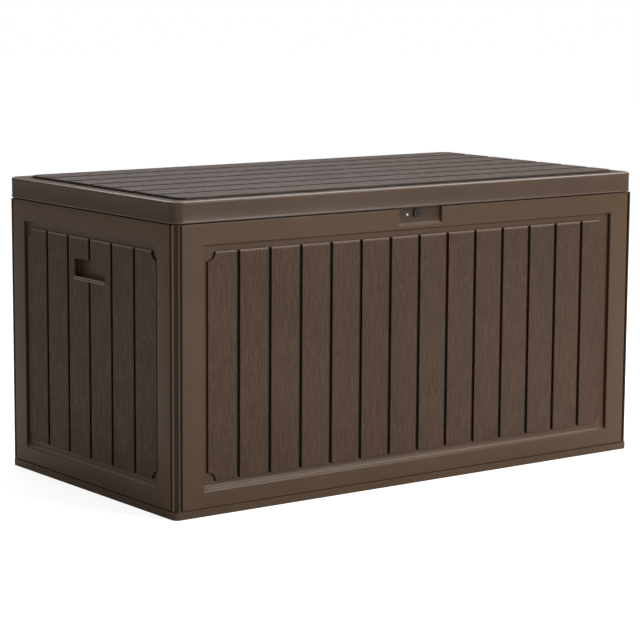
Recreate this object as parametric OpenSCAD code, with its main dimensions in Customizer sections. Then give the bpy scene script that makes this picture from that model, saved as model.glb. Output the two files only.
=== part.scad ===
// Deck storage box: moulded resin panels between four corner posts on a base
// tray, with a hinged lid, hand holds in both ends and a keyed cam lock in front.
// Origin at the middle of the footprint on the ground, front towards -Y, +Z up.

/* [Body] */
// Length over the outer faces of the end panels
box_len = 1200; // [900:10:1500]
// Depth over the outer faces of the front and back panels
box_depth = 636; // [500:4:800]
// Height of the top edge of the panels above the ground
body_h = 573; // [430:1:720]
// Thickness of the four wall panels
panel_t = 16; // [14:0.5:20]
// Width that each corner post's face has beyond the thickness of a panel
post_leg = 1; // [0:0.5:8]
// Radius of the sunk round column of a corner post
post_r = 12.5; // [10:0.5:14]
// Width of the two bright fins of a corner post
fin_w = 2.4; // [1.6:0.2:3]
// Distance from the body's corner to the middle of a fin
fin_at = 10.5; // [9:0.5:12]

/* [Wall panels] */
// Frame border beside the slats on the front and back panels
front_border = 50; // [30:1:80]
// Frame border beside the slats on the end panels
side_border = 45; // [30:1:70]
// Frame rail above the slats
top_rail = 42; // [38:1:70]
// Frame rail below the slats
bottom_rail = 33; // [20:1:60]
// Depth of the sunk field behind the frame's face
recess_depth = 9; // [6:0.5:10]
// Height of a slat above the sunk field
slat_rise = 5.5; // [3:0.5:7]
// Wanted pitch of the front and back slats
front_pitch = 75; // [55:1:110]
// Wanted pitch of the end slats
side_pitch = 84; // [60:1:110]
// Width of the groove between two slats
groove_w = 7; // [4:0.5:12]
// Gap between the field's edge and the first front slat
front_gap = 11.5; // [6:0.5:20]
// Gap between the field's edge and the first end slat
side_gap = 8; // [6:0.5:20]
// Gap between the field's upper edge and the slats
slat_top_gap = 14; // [8:0.5:24]
// Gap between the field's lower edge and the slats
slat_bottom_gap = 17; // [10:0.5:26]
// Radius of the quarter-round notches at the four outer slat corners
notch_r = 18; // [10:1:30]
// Run of the sloped lip along the field's lower edge
lip_run = 9; // [4:0.5:12]
// Run of the steep lip along the field's upper edge
top_lip_run = 3; // [1:0.5:10]
// Run of the steep lip along the field's ends
end_lip_run = 2; // [1:0.5:5]
// Skin left between the sunk field and the moulded pockets behind it
floor_skin = 3; // [2:0.5:4]

/* [Base tray] */
// Height of the tray's visible strip
base_h = 15; // [12:1:40]
// Height of the shadow step between the strip and the panels
step_h = 2; // [1:0.5:5]
// Width of the shadow step
step_w = 4; // [2:0.5:6]
// Corner radius of the tray
base_r = 12; // [8:1:24]
// Thickness of the tray's floor
floor_t = 5; // [3:0.5:8]
// Thickness of the tray's outer wall and ribs
rib_t = 4; // [3:0.5:8]
// Height of the curb that keeps the panels' feet in line
curb_h = 15; // [8:1:30]

/* [Lid] */
// Gap between the panels' top edge and the lid's skirt
lid_gap = 2; // [1:0.5:5]
// Height of the lid's skirt up to the flat rim
skirt_h = 44.5; // [42:0.5:80]
// Thickness of the lid's skirt and top
lid_t = 3.5; // [2.5:0.5:5]
// Plan radius of the lid's corners
lid_r = 24; // [23:1:30]
// Radius of the lid's upper edge
lid_edge_r = 6; // [4:0.5:8]
// How far the lid's back skirt stands out past the back panel
back_over = 6; // [6:0.5:10]
// Rim width in front of and behind the plank field
rim_w = 30; // [20:1:60]
// Extra rim width behind the plank field
rim_back_extra = 6; // [0:1:30]
// Rim width beside the plank field
rim_side = 32; // [20:1:70]
// Height of the plank field above the rim
deck_rise = 4.5; // [1:0.5:8]
// Number of planks
plank_count = 7; // [4:1:10]
// Width of the groove between planks
plank_gap = 12; // [3:0.5:16]
// Depth of the groove between planks
plank_cut = 3.5; // [2:0.5:4]
// Chamfer of the plank field's corners
deck_corner = 15; // [4:1:30]
// Width of the groove round the plank field
ring_w = 4; // [2:0.5:8]

/* [Lid inside] */
// Thickness of the liner that closes the lid's underside
liner_t = 3; // [2:0.5:5]
// Height of the liner above the lid's lower edge
liner_up = 17; // [16:0.5:20]
// Width and height of the lid's steel tubes
tube_s = 16; // [12:1:18]
// Wall of the lid's steel tubes
tube_wall = 1.5; // [1:0.25:3]
// Distance of each tube from the lid's middle line
tube_at = 150; // [80:5:200]

/* [Rim of the body] */
// Height of the inner rim that stands inside the lid's skirt
rim_up = 15; // [8:1:16]
// Setback of that rim from the panel's face
rim_in = 7; // [6:0.5:9]

/* [Hand holds] */
// Width of a hand hold
hold_w = 117; // [90:1:150]
// Height of a hand hold
hold_h = 38; // [30:1:60]
// Depth of a hand hold from the panel's face
hold_depth = 22; // [20:1:40]
// Height of the hand hold's middle above the ground
hold_z = 453; // [300:1:480]
// Wall of the cup behind a hand hold
cup_t = 2.5; // [2:0.5:4]
// Flange of that cup on the panel's inner face
cup_flange = 8; // [5:1:14]

/* [Hinges] */
// Length of a hinge
hinge_len = 70; // [50:1:120]
// Distance of each hinge from the box's middle
hinge_at = 400; // [250:5:520]
// Radius of the hinge knuckles
knuckle_r = 6.5; // [5.5:0.5:7]
// Radius of the hinge pins
pin_r = 2.5; // [2:0.1:3]
// Radial clearance of the hinge pins
pin_gap = 0.05; // [0.02:0.01:0.1]
// Thickness of the hinge leaves
leaf_t = 2.5; // [2:0.5:4]
// Angle at which the hinge stops the open lid
open_deg = 100; // [92:1:105]

/* [Front lock] */
// Width of the finger pocket above the front slats
pocket_w = 111; // [90:1:180]
// Height of the finger pocket
pocket_h = 32; // [28:1:34]
// Depth of the finger pocket at its middle
pocket_d = 16; // [14:1:20]
// Depth of the finger pocket at its ends
pocket_end_d = 7; // [4:1:12]
// Radius of the lock's face
lock_r = 8.5; // [8:0.5:12]
// Radius of the lock's threaded barrel
barrel_r = 7; // [6:0.5:9]
// Radius of the turning key plug
plug_r = 5.5; // [4:0.5:6]
// Length of the cam from the lock's axis to its tip
cam_len = 22; // [18:1:26]
// Width of the cam
cam_w = 8; // [6:0.5:12]

/* [Hidden] */
$fn = 48;
eps = 0.01;
cut = 2;
brown = [0.36, 0.29, 0.24];
brown_dark = [0.30, 0.24, 0.20];
brown_lid = [0.38, 0.32, 0.28];
steel = [0.72, 0.73, 0.74];
black = [0.08, 0.08, 0.09];
white = [0.95, 0.95, 0.93];

hx = box_len / 2;
hy = box_depth / 2;
panel_z = base_h + step_h;
panel_h = body_h - panel_z;
leg = panel_t + post_leg;
front_len = box_len - 2 * leg;
side_len = box_depth - 2 * leg;

// Lid levels
lid_z = body_h + lid_gap;
rim_z = lid_z + skirt_h - deck_rise / 2;
deck_z = rim_z + deck_rise;
lid_back = hy + back_over;
liner_z = lid_z + liner_up;
edge_in = lid_edge_r + 1;
under_z = rim_z - lid_t;

// Hinge axis, behind the back panel and below the lid's skirt
axis_y = lid_back + knuckle_r + 0.5;
axis_z = lid_z - knuckle_r - 2.5;
leaf_top = lid_z + 36;
leaf_low = axis_z - 36;
knuckle_len = 12;
knuckle_play = 0.5;
screw_x = hinge_len / 2 - 9;
screw_low_z = leaf_low + 8;
screw_high_z = lid_z + 28;
stop_w = 30;

// Screws
screw_r = 2;
screw_hole = 2.1;
screw_head_r = 4;
screw_head_h = 2;
screw_len = 11;
block_y = 10;

// Lock
lock_z = body_h - 11.5;
pocket_z = body_h - pocket_h;
// Radius of the pocket's scooped back, and the pocket's depth at a distance from its middle
pocket_sag = pocket_d - pocket_end_d;
pocket_arc = (pocket_w * pocket_w / 4 + pocket_sag * pocket_sag) / (2 * pocket_sag);
function pocket_at(x) = pocket_d - pocket_arc + sqrt(pocket_arc * pocket_arc - x * x);
pocket_wall = 2.5;
skin_in = 1;
rail_z = pocket_z - pocket_wall - 2;
house_x = pocket_w / 2 + pocket_wall;
lock_back = max(pocket_d + pocket_wall, panel_t);
face_out = 4;
nut_t = 4;
nut_r = 12;
cam_t = 2.5;
barrel_len = 14;
cam_gap = 0.5;
shank_s = 6;
marker_x = -24.5;
marker_z = lock_z - 2.5;
marker_r = 2.6;
marker_seat = pocket_at(marker_x) + 0.8;
keeper_x = cam_len + 2.2;
keeper_t = 3;
keeper_w = 9;
ledge_from = 12;

// Liner fastening points
boss_r = 5.5;
liner_in = lid_t + 0.8;
boss_end = 84;
boss_side = 64;
boss_mid = 180;

// Pocket rows behind the slats
row_count = 3;
web = 6;

function slat_n(field, pitch) = max(2, round(field / pitch));

module at_corners(dx, dy) {
    for (sx = [-1, 1], sy = [-1, 1])
        translate([sx * dx, sy * dy]) children();
}

// Cylinder that runs along +Y from a point
module along_y(x, y, z, r, h) {
    translate([x, y, z]) rotate([-90, 0, 0]) cylinder(r = r, h = h);
}

// Outline in the Y-Z plane, extruded along X and centred on it
module along_x(len) {
    translate([-len / 2, 0, 0]) rotate([90, 0, 90]) linear_extrude(len) children();
}

// Rounded rectangle from corner to corner, as plain squares and circles
module plate2d(x0, x1, y0, y1, r) {
    translate([x0 + r, y0]) square([x1 - x0 - 2 * r, y1 - y0]);
    translate([x0, y0 + r]) square([x1 - x0, y1 - y0 - 2 * r]);
    for (x = [x0 + r, x1 - r], y = [y0 + r, y1 - r])
        translate([x, y]) circle(r);
}

// ---- wall panels: drawn with the outer face at y = 0, the body behind it ----

// The sunk field with its sloped lips, as the space to be taken away
module field_space(len, border) {
    w = len - 2 * border;
    z0 = panel_z + bottom_rail;
    z1 = body_h - top_rail;
    intersection() {
        translate([-len / 2, 0, 0]) rotate([90, 0, 90]) linear_extrude(len)
            polygon([[-cut, z0 - lip_run * cut / recess_depth],
                [recess_depth, z0 + lip_run], [recess_depth, z1 - top_lip_run],
                [-cut, z1 + top_lip_run * cut / recess_depth]]);
        linear_extrude(body_h)
            polygon([[-w / 2 - end_lip_run * cut / recess_depth, -cut],
                [w / 2 + end_lip_run * cut / recess_depth, -cut],
                [w / 2 - end_lip_run, recess_depth], [end_lip_run - w / 2, recess_depth]]);
    }
}

module slats(len, border, gap, pitch) {
    w = len - 2 * border - 2 * gap;
    n = slat_n(w + groove_w, pitch);
    p = (w + groove_w) / n;
    sw = p - groove_w;
    z0 = panel_z + bottom_rail + slat_bottom_gap;
    z1 = body_h - top_rail - slat_top_gap;
    c = min(1.5, slat_rise / 2);
    top = recess_depth - slat_rise;
    difference() {
        for (i = [0 : n - 1]) translate([-w / 2 + i * p, 0, z0]) linear_extrude(z1 - z0)
            polygon([[0, recess_depth + eps], [0, top + c], [c, top],
                [sw - c, top], [sw, top + c], [sw, recess_depth + eps]]);
        for (x = [-w / 2, w / 2], z = [z0, z1]) translate([x, 0, z])
            rotate([-90, 0, 0]) cylinder(r = notch_r, h = recess_depth);
    }
}

// Moulded pockets on the inner face, one column behind each slat
module back_pockets(len, border, gap, pitch) {
    w = len - 2 * border - 2 * gap;
    n = slat_n(w + groove_w, pitch);
    p = (w + groove_w) / n;
    z0 = panel_z + bottom_rail + slat_bottom_gap + web;
    z1 = body_h - top_rail - slat_top_gap - web;
    rh = (z1 - z0 + web) / row_count;
    d0 = recess_depth + floor_skin;
    for (i = [0 : n - 1], k = [0 : row_count - 1])
        translate([-w / 2 + i * p + web, d0, z0 + k * rh])
            cube([p - groove_w - 2 * web, panel_t, rh - web]);
}

module panel(len, border, gap, pitch) {
    difference() {
        union() {
            difference() {
                translate([-len / 2, 0, panel_z]) cube([len, panel_t, panel_h]);
                field_space(len, border);
            }
            slats(len, border, gap, pitch);
        }
        back_pockets(len, border, gap, pitch);
    }
    translate([-len / 2, rim_in, body_h - eps])
        cube([len, panel_t - rim_in, rim_up + eps]);
}

// ---- finger pocket and lock seat in the front panel ----

// Plan of the finger pocket: square ends with a scooped back
module pocket2d(extra) {
    half = pocket_w / 2;
    r = pocket_arc;
    translate([-half - extra, -cut]) square([pocket_w + 2 * extra, pocket_end_d + cut + extra]);
    intersection() {
        translate([0, pocket_d - r]) circle(r + extra, $fn = 160);
        translate([-half - extra, 0]) square([pocket_w + 2 * extra, pocket_d + extra]);
    }
}

module pocket_space() {
    translate([0, 0, pocket_z]) linear_extrude(pocket_h + rim_up + cut) pocket2d(0);
}

module pocket_wall_solid() {
    for (part = [[pocket_z - pocket_wall, body_h, skin_in], [body_h - eps, body_h + rim_up, rim_in]])
        translate([0, 0, part[0]]) linear_extrude(part[1] - part[0]) intersection() {
            pocket2d(pocket_wall);
            translate([-box_len / 2, part[2]]) square([box_len, pocket_d + pocket_wall]);
        }
}

// The front wall is one moulding, in four nodes: the field, two rails and the lock's housing
module front_panel() color(brown) translate([0, -hy, 0]) difference() {
    panel(front_len, front_border, front_gap, front_pitch);
    translate([-box_len / 2, -cut, rail_z]) cube([box_len, panel_t + 2 * cut, panel_h]);
}

// Top rail of the front wall with its inner rim, from one place along X to another
module front_rail(x0, x1) {
    translate([x0, 0, rail_z]) cube([x1 - x0, panel_t, body_h - rail_z]);
    translate([x0, rim_in, body_h - eps]) cube([x1 - x0, panel_t - rim_in, rim_up + eps]);
}

module front_rail_left() color(brown) translate([0, -hy, 0]) front_rail(-front_len / 2, -house_x);

module front_rail_right() color(brown) translate([0, -hy, 0]) front_rail(house_x, front_len / 2);

module lock_housing() color(brown) translate([0, -hy, 0]) difference() {
    union() {
        front_rail(-house_x, house_x);
        pocket_wall_solid();
    }
    pocket_space();
    along_y(0, -cut, lock_z, barrel_r + 0.1, 40);
    along_y(0, 0, lock_z, lock_r + 0.2, pocket_d);
    along_y(marker_x, 0, marker_z, marker_r + 0.1, marker_seat);
    along_y(marker_x, 0, marker_z, 1.7, 40);
}

module back_panel() color(brown_dark) rotate([0, 0, 180]) translate([0, -hy, 0]) difference() {
    panel(front_len, front_border, front_gap, front_pitch);
    for (s = [-1, 1], t = [-1, 1])
        translate([s * hinge_at + t * screw_x, -cut, screw_low_z])
            rotate([-90, 0, 0]) cylinder(r = screw_hole, h = screw_len + cut);
}

// ---- end panels with their hand holds ----

module hold_frame() {
    translate([-hold_w / 2 - web, recess_depth, hold_z - hold_h / 2 - web])
        cube([hold_w + 2 * web, panel_t - recess_depth, hold_h + 2 * web]);
}

module hold_space(depth) {
    translate([-hold_w / 2, -cut, hold_z - hold_h / 2]) cube([hold_w, depth + cut, hold_h]);
}

module end_panel() translate([0, -hx, 0]) difference() {
    union() {
        panel(side_len, side_border, side_gap, side_pitch);
        hold_frame();
    }
    hold_space(panel_t + cut);
}

module left_panel() color(brown_dark) rotate([0, 0, -90]) end_panel();

module right_panel() color(brown_dark) rotate([0, 0, 90]) end_panel();

// Cup that closes a hand hold behind the panel, with a gripping bead at its foot
module hand_cup() translate([0, -hx, 0]) {
    ox = hold_w / 2 + cup_t;
    oz = hold_h / 2 + cup_t;
    difference() {
        union() {
            translate([-ox, panel_t, hold_z - oz])
                cube([2 * ox, hold_depth + cup_t - panel_t, 2 * oz]);
            translate([-ox - cup_flange, panel_t, hold_z - oz - cup_flange])
                cube([2 * (ox + cup_flange), cup_t, 2 * (oz + cup_flange)]);
        }
        hold_space(hold_depth);
    }
    translate([-hold_w / 2 - eps, hold_depth - 2 * cup_t, hold_z - hold_h / 2])
        cube([hold_w + 2 * eps, 2 * cup_t + eps, cup_t]);
}

module hand_cup_left() color(brown_dark) rotate([0, 0, -90]) hand_cup();

module hand_cup_right() color(brown_dark) rotate([0, 0, 90]) hand_cup();

// ---- corner posts: corner of the body at the origin, body towards +X +Y ----

flange_t = 4;
flange_len = 28;

module fin2d() {
    off = leg - fin_at + fin_w / 2;
    reach = leg - sqrt(max(1, post_r * post_r - off * off)) + 0.8;
    translate([fin_at - fin_w / 2, fin_w / 2]) square([fin_w, reach - fin_w / 2]);
    translate([fin_at, fin_w / 2]) circle(fin_w / 2, $fn = 24);
}

module post2d() {
    intersection() {
        translate([leg, leg]) circle(post_r);
        square(leg);
    }
    fin2d();
    mirror([1, -1]) fin2d();
    flanges2d();
}

module flanges2d() {
    translate([panel_t, panel_t]) square([flange_len, flange_t]);
    translate([panel_t, panel_t]) square([flange_t, flange_len]);
}

module post() {
    translate([0, 0, panel_z]) linear_extrude(panel_h) post2d();
    translate([0, 0, body_h - eps]) linear_extrude(rim_up + eps) {
        intersection() {
            translate([leg, leg]) circle(leg - rim_in - 0.5);
            square(leg);
        }
        flanges2d();
    }
}

module post_front_left() color(brown_dark) translate([-hx, -hy, 0]) post();

module post_front_right() color(brown_dark) translate([hx, -hy, 0]) rotate([0, 0, 90]) post();

module post_back_right() color(brown_dark) translate([hx, hy, 0]) rotate([0, 0, 180]) post();

module post_back_left() color(brown_dark) translate([-hx, hy, 0]) rotate([0, 0, 270]) post();

// ---- base tray ----

module base_tray() color(brown) {
    cx = 6;
    cy = 3;
    curb_in = panel_t;
    curb_end = panel_t + flange_len + 1;
    difference() {
        union() {
            linear_extrude(base_h) plate2d(-hx, hx, -hy, hy, base_r);
            linear_extrude(panel_z)
                plate2d(-hx + step_w, hx - step_w, -hy + step_w, hy - step_w, base_r - step_w);
        }
        ix = hx - step_w - rib_t;
        iy = hy - step_w - rib_t;
        px = (2 * ix + rib_t) / cx;
        py = (2 * iy + rib_t) / cy;
        for (i = [0 : cx - 1], k = [0 : cy - 1])
            translate([-ix + i * px, -iy + k * py, -cut])
                cube([px - rib_t, py - rib_t, panel_z - floor_t + cut]);
    }
    for (s = [-1, 1]) {
        translate([-hx + curb_end, s * (hy - curb_in - rib_t / 2) - rib_t / 2, panel_z - eps])
            cube([box_len - 2 * curb_end, rib_t, curb_h + eps]);
        translate([s * (hx - curb_in - rib_t / 2) - rib_t / 2, -hy + curb_end, panel_z - eps])
            cube([rib_t, box_depth - 2 * curb_end, curb_h + eps]);
    }
}

// ---- lid ----

// Lid plan, drawn in by a distance from its outer face
module lid2d(in) {
    plate2d(-hx + in, hx - in, -hy + in, lid_back - in, lid_r - in);
}

module lid_block() {
    z = rim_z - lid_edge_r;
    r = lid_edge_r;
    translate([0, 0, lid_z]) linear_extrude(z - lid_z) lid2d(0);
    translate([0, 0, z - eps]) linear_extrude(r + eps) lid2d(r);
    for (y = [-hy + r, lid_back - r]) translate([-hx + lid_r, y, z])
        rotate([0, 90, 0]) cylinder(r = r, h = box_len - 2 * lid_r);
    for (x = [-hx + r, hx - r]) translate([x, -hy + lid_r, z])
        rotate([-90, 0, 0]) cylinder(r = r, h = lid_back + hy - 2 * lid_r);
    for (x = [-hx + lid_r, hx - lid_r], y = [-hy + lid_r, lid_back - lid_r])
        translate([x, y, z]) rotate_extrude() translate([lid_r - r, 0]) intersection() {
            circle(r);
            translate([-r, -r]) square([2 * r, 2 * r]);
        }
}

deck_x = hx - rim_side;
deck_y0 = -hy + rim_w;
deck_y1 = lid_back - rim_w - rim_back_extra;

module deck2d(grow) {
    x = deck_x + grow;
    y0 = deck_y0 - grow;
    y1 = deck_y1 + grow;
    c = deck_corner;
    polygon([[-x + c, y0], [x - c, y0], [x, y0 + c], [x, y1 - c],
        [x - c, y1], [-x + c, y1], [-x, y1 - c], [-x, y0 + c]]);
}

boss_list = [for (x = [boss_end - hx, -boss_mid, boss_mid, hx - boss_end],
    y = [boss_side - hy, hy - boss_side]) [x, y]];
rib_count = 5;
rib_pitch = box_len / (rib_count + 1);

module lid_shell() color(brown_lid) {
    ring_cut = min(ring_w / 2, lid_t - 1.5);
    difference() {
        union() {
            lid_block();
            translate([0, 0, rim_z - lid_t]) linear_extrude(deck_rise + lid_t) deck2d(0);
        }
        translate([0, 0, lid_z - cut])
            linear_extrude(rim_z - lid_edge_r - lid_z + cut) lid2d(lid_t);
        translate([0, 0, lid_z]) linear_extrude(under_z - lid_z) lid2d(edge_in + 1);
        translate([0, 0, rim_z - ring_cut]) linear_extrude(ring_cut + deck_rise + cut)
            difference() {
                deck2d(ring_w);
                deck2d(0);
            }
        pitch = (deck_y1 - deck_y0 + plank_gap) / plank_count;
        for (i = [1 : plank_count - 1])
            translate([-deck_x - eps, deck_y0 + i * pitch - plank_gap, deck_z - plank_cut])
                cube([2 * deck_x + 2 * eps, plank_gap, plank_cut + cut]);
        for (s = [-1, 1], t = [-1, 1]) hinge_screw_hole(s, t);
    }
    difference() {
        union() {
            for (i = [1 : rib_count])
                translate([i * rib_pitch - hx - rib_t / 2, -hy + 12, liner_z + liner_t + 2])
                cube([rib_t, lid_back + hy - 24, under_z - liner_z - liner_t - 2 + eps]);
            for (b = boss_list) translate([b[0], b[1], liner_z + liner_t])
                cylinder(r = boss_r, h = under_z - liner_z - liner_t + eps);
        }
        for (s = [-1, 1]) translate([-hx, s * tube_at - tube_s / 2 - 0.2, liner_z])
            cube([box_len, tube_s + 0.4, tube_s + liner_t + 0.2]);
        for (b = boss_list) translate([b[0], b[1], liner_z - cut])
            cylinder(r = screw_hole, h = screw_len + cut);
    }
    for (s = [-1, 1]) difference() {
        translate([s * hinge_at - hinge_len / 2, lid_back - lid_t - block_y + eps, screw_high_z - 6])
            cube([hinge_len, block_y, 12]);
        for (t = [-1, 1]) hinge_screw_hole(s, t);
    }
}

module hinge_screw_hole(s, t) {
    translate([s * hinge_at + t * screw_x, lid_back + cut, screw_high_z])
        rotate([90, 0, 0]) cylinder(r = screw_hole, h = screw_len + cut);
}

module lid_liner() color(brown_dark) difference() {
    translate([0, 0, liner_z]) linear_extrude(liner_t) lid2d(liner_in);
    for (b = boss_list) translate([b[0], b[1], liner_z - cut])
        cylinder(r = screw_hole, h = liner_t + 2 * cut);
    for (i = [0, 1]) translate([rivet_x(i), keeper_y, liner_z - cut])
        cylinder(r = rivet_r + 0.1, h = liner_t + 2 * cut);
}

module lid_tubes() color(steel) for (s = [-1, 1])
    translate([0, s * tube_at, liner_z + liner_t + tube_s / 2])
        along_x(box_len - 2 * (lid_t + 8)) difference() {
            square(tube_s, center = true);
            square(tube_s - 2 * tube_wall, center = true);
        }

// ---- hinges ----

leaf_out = lid_back + leaf_t - axis_y;

// Where the open lid's leaf comes to rest, at a distance up that leaf
function stop_at(up) = [
    axis_y + (leaf_out + 0.4) * cos(open_deg) + up * sin(open_deg),
    axis_z - (leaf_out + 0.4) * sin(open_deg) + up * cos(open_deg)];

module knuckle(x0, x1) {
    translate([x0, axis_y, axis_z]) rotate([0, 90, 0]) cylinder(r = knuckle_r, h = x1 - x0);
}

module pin_bore() {
    translate([-hinge_len, axis_y, axis_z]) rotate([0, 90, 0])
        cylinder(r = pin_r + pin_gap, h = 2 * hinge_len);
}

module hinge_body_leaf() difference() {
    kx = hinge_len / 2;
    union() {
        translate([-kx, hy, leaf_low]) cube([hinge_len, leaf_t, axis_z - 2 - leaf_low]);
        for (s = [-1, 1]) {
            translate([s * (kx - knuckle_len / 2), 0, 0]) along_x(knuckle_len)
                polygon([[hy, axis_z - 20], [hy, axis_z - 2],
                    [axis_y - 0.6 * knuckle_r, axis_z + 0.69 * knuckle_r],
                    [axis_y + 0.45 * knuckle_r, axis_z - 0.85 * knuckle_r]]);
            x0 = s > 0 ? kx - knuckle_len : -kx;
            knuckle(x0, x0 + knuckle_len);
        }
        along_x(stop_w) polygon([[hy, axis_z - 30], [stop_at(22)[0], axis_z - 14],
            stop_at(22), stop_at(14.5),
            [axis_y + knuckle_r + 5, axis_z - knuckle_r - 1.3],
            [hy, axis_z - knuckle_r - 1.3]]);
    }
    pin_bore();
    for (t = [-1, 1]) along_y(t * screw_x, hy - cut, screw_low_z, screw_hole, leaf_t + 2 * cut);
}

module hinge_lid_leaf() difference() {
    kx = hinge_len / 2 - knuckle_len - knuckle_play;
    foot_z = lid_z + 4;
    union() {
        translate([-hinge_len / 2, lid_back, foot_z])
            cube([hinge_len, leaf_t, leaf_top - foot_z]);
        along_x(2 * kx) polygon([[lid_back, foot_z + eps], [lid_back + leaf_t, foot_z + eps],
            [axis_y + 0.45 * knuckle_r, axis_z + 0.7 * knuckle_r],
            [axis_y - 0.77 * knuckle_r, axis_z - 0.62 * knuckle_r]]);
        knuckle(-kx, kx);
    }
    pin_bore();
    for (t = [-1, 1])
        along_y(t * screw_x, lid_back - cut, screw_high_z, screw_hole, leaf_t + 2 * cut);
}

module hinge_pin() translate([0, axis_y, axis_z]) rotate([0, 90, 0]) {
    translate([0, 0, -hinge_len / 2 - eps]) cylinder(r = pin_r, h = hinge_len + 2 * eps);
    for (s = [-1, 1]) translate([0, 0, s * (hinge_len / 2 + 1)])
        cylinder(r = pin_r + 2, h = 2, center = true);
}

module hinge_body_leaf_left() color(black) translate([-hinge_at, 0, 0]) hinge_body_leaf();

module hinge_body_leaf_right() color(black) translate([hinge_at, 0, 0]) hinge_body_leaf();

module hinge_lid_leaf_left() color(black) translate([-hinge_at, 0, 0]) hinge_lid_leaf();

module hinge_lid_leaf_right() color(black) translate([hinge_at, 0, 0]) hinge_lid_leaf();

module hinge_pin_left() color(steel) translate([-hinge_at, 0, 0]) hinge_pin();

module hinge_pin_right() color(steel) translate([hinge_at, 0, 0]) hinge_pin();

// Pan-head screw: head above z = 0, shank below, cross recess in the head
module screw() {
    difference() {
        cylinder(r = screw_head_r, h = screw_head_h);
        for (a = [0, 90]) rotate([0, 0, a])
            translate([-2.2, -0.5, screw_head_h - 1]) cube([4.4, 1, cut]);
    }
    translate([0, 0, -screw_len]) cylinder(r = screw_r, h = screw_len + eps);
}

module hinge_body_screws() color(steel) for (s = [-1, 1], t = [-1, 1])
    translate([s * hinge_at + t * screw_x, hy + leaf_t, screw_low_z])
        rotate([-90, 0, 0]) screw();

module hinge_lid_screws() color(steel) for (s = [-1, 1], t = [-1, 1])
    translate([s * hinge_at + t * screw_x, lid_back + leaf_t, screw_high_z])
        rotate([-90, 0, 0]) screw();

module liner_screws() color(steel) for (b = boss_list)
    translate([b[0], b[1], liner_z]) rotate([180, 0, 0]) screw();

// ---- front lock: every depth is counted back from the front panel's face ----

face_d = pocket_d - face_out;
barrel_d = pocket_d + barrel_len;
cam_d = barrel_d + cam_gap;

module lock_barrel() color(black) translate([0, -hy, 0]) difference() {
    union() {
        along_y(0, face_d, lock_z, lock_r, face_out);
        along_y(0, pocket_d - eps, lock_z, barrel_r, barrel_len + eps);
    }
    along_y(0, face_d - cut, lock_z, plug_r + 0.05, barrel_len + face_out + 2 * cut);
}

module lock_nut() color(steel) translate([0, -hy + lock_back, lock_z]) rotate([-90, 0, 0])
    difference() {
        cylinder(r = nut_r, h = nut_t, $fn = 6);
        translate([0, 0, -cut]) cylinder(r = barrel_r, h = nut_t + 2 * cut);
    }

module lock_plug() color(steel) translate([0, -hy, 0]) difference() {
    union() {
        along_y(0, face_d + 0.3, lock_z, plug_r, cam_d - face_d - 0.3);
        translate([-shank_s / 2, cam_d - eps, lock_z - shank_s / 2])
            cube([shank_s, cam_t + eps, shank_s]);
    }
    translate([-0.8, face_d, lock_z - 3.5]) cube([1.6, 5, 7]);
    along_y(0, cam_d - 6, lock_z, 1.6, 6 + cam_t + cut);
}

module lock_cam() color(steel) translate([0, -hy + cam_d, lock_z]) rotate([-90, 0, 0])
    linear_extrude(cam_t) difference() {
        union() {
            circle(shank_s / 2 + 3.5);
            translate([-cam_w / 2, -cam_len + cam_w / 2])
                square([cam_w, cam_len - cam_w / 2]);
            translate([0, -cam_len + cam_w / 2]) circle(cam_w / 2);
        }
        square(shank_s, center = true);
    }

module cam_screw() color(steel) translate([0, -hy + cam_d + cam_t, lock_z]) rotate([-90, 0, 0]) {
    cylinder(r = shank_s / 2 + 1.5, h = 2);
    translate([0, 0, -7]) cylinder(r = 1.5, h = 7 + eps);
}

module lock_marker() color(white) translate([0, -hy, 0]) {
    along_y(marker_x, marker_seat - 1.4, marker_z, marker_r, 1.4);
    along_y(marker_x, marker_seat - eps, marker_z, 1.6, 2.5);
}

// ---- keeper that the cam turns over, riveted under the liner ----

rivet_r = 1.6;
keeper_y = -hy + cam_d + cam_t / 2;
keeper_foot = 30;
ledge_z = lock_z - cam_w / 2 - 0.6;

function rivet_x(i) = keeper_x + keeper_t + 6 + i * 13;

module lid_keeper() color(steel) difference() {
    translate([0, keeper_y - keeper_w / 2, 0]) {
        translate([keeper_x, 0, ledge_z - keeper_t])
            cube([keeper_t, keeper_w, liner_z - ledge_z + keeper_t]);
        translate([ledge_from, 0, ledge_z - keeper_t])
            cube([keeper_x + keeper_t - ledge_from, keeper_w, keeper_t]);
        translate([keeper_x, 0, liner_z - keeper_t]) cube([keeper_foot, keeper_w, keeper_t]);
    }
    for (i = [0, 1]) translate([rivet_x(i), keeper_y, liner_z - keeper_t - cut])
        cylinder(r = rivet_r + 0.1, h = keeper_t + 2 * cut);
}

module keeper_rivets() color(steel) for (i = [0, 1]) translate([rivet_x(i), keeper_y, 0]) {
    translate([0, 0, liner_z - keeper_t - 1.5]) cylinder(r = 3, h = 1.5);
    translate([0, 0, liner_z - keeper_t - eps])
        cylinder(r = rivet_r, h = keeper_t + liner_t + 2 * eps);
    translate([0, 0, liner_z + liner_t]) cylinder(r = 3, h = 1.5);
}

// ---- one line per node ----

base_tray();
front_panel();
front_rail_left();
front_rail_right();
lock_housing();
back_panel();
left_panel();
right_panel();
post_front_left();
post_front_right();
post_back_left();
post_back_right();
hand_cup_left();
hand_cup_right();
hinge_body_leaf_left();
hinge_body_leaf_right();
hinge_pin_left();
hinge_pin_right();
hinge_body_screws();
lock_barrel();
lock_nut();
lock_plug();
lock_cam();
cam_screw();
lock_marker();
lid_shell();
lid_liner();
lid_tubes();
hinge_lid_leaf_left();
hinge_lid_leaf_right();
hinge_lid_screws();
liner_screws();
lid_keeper();
keeper_rivets();
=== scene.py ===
import math
from typing import NamedTuple

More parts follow.
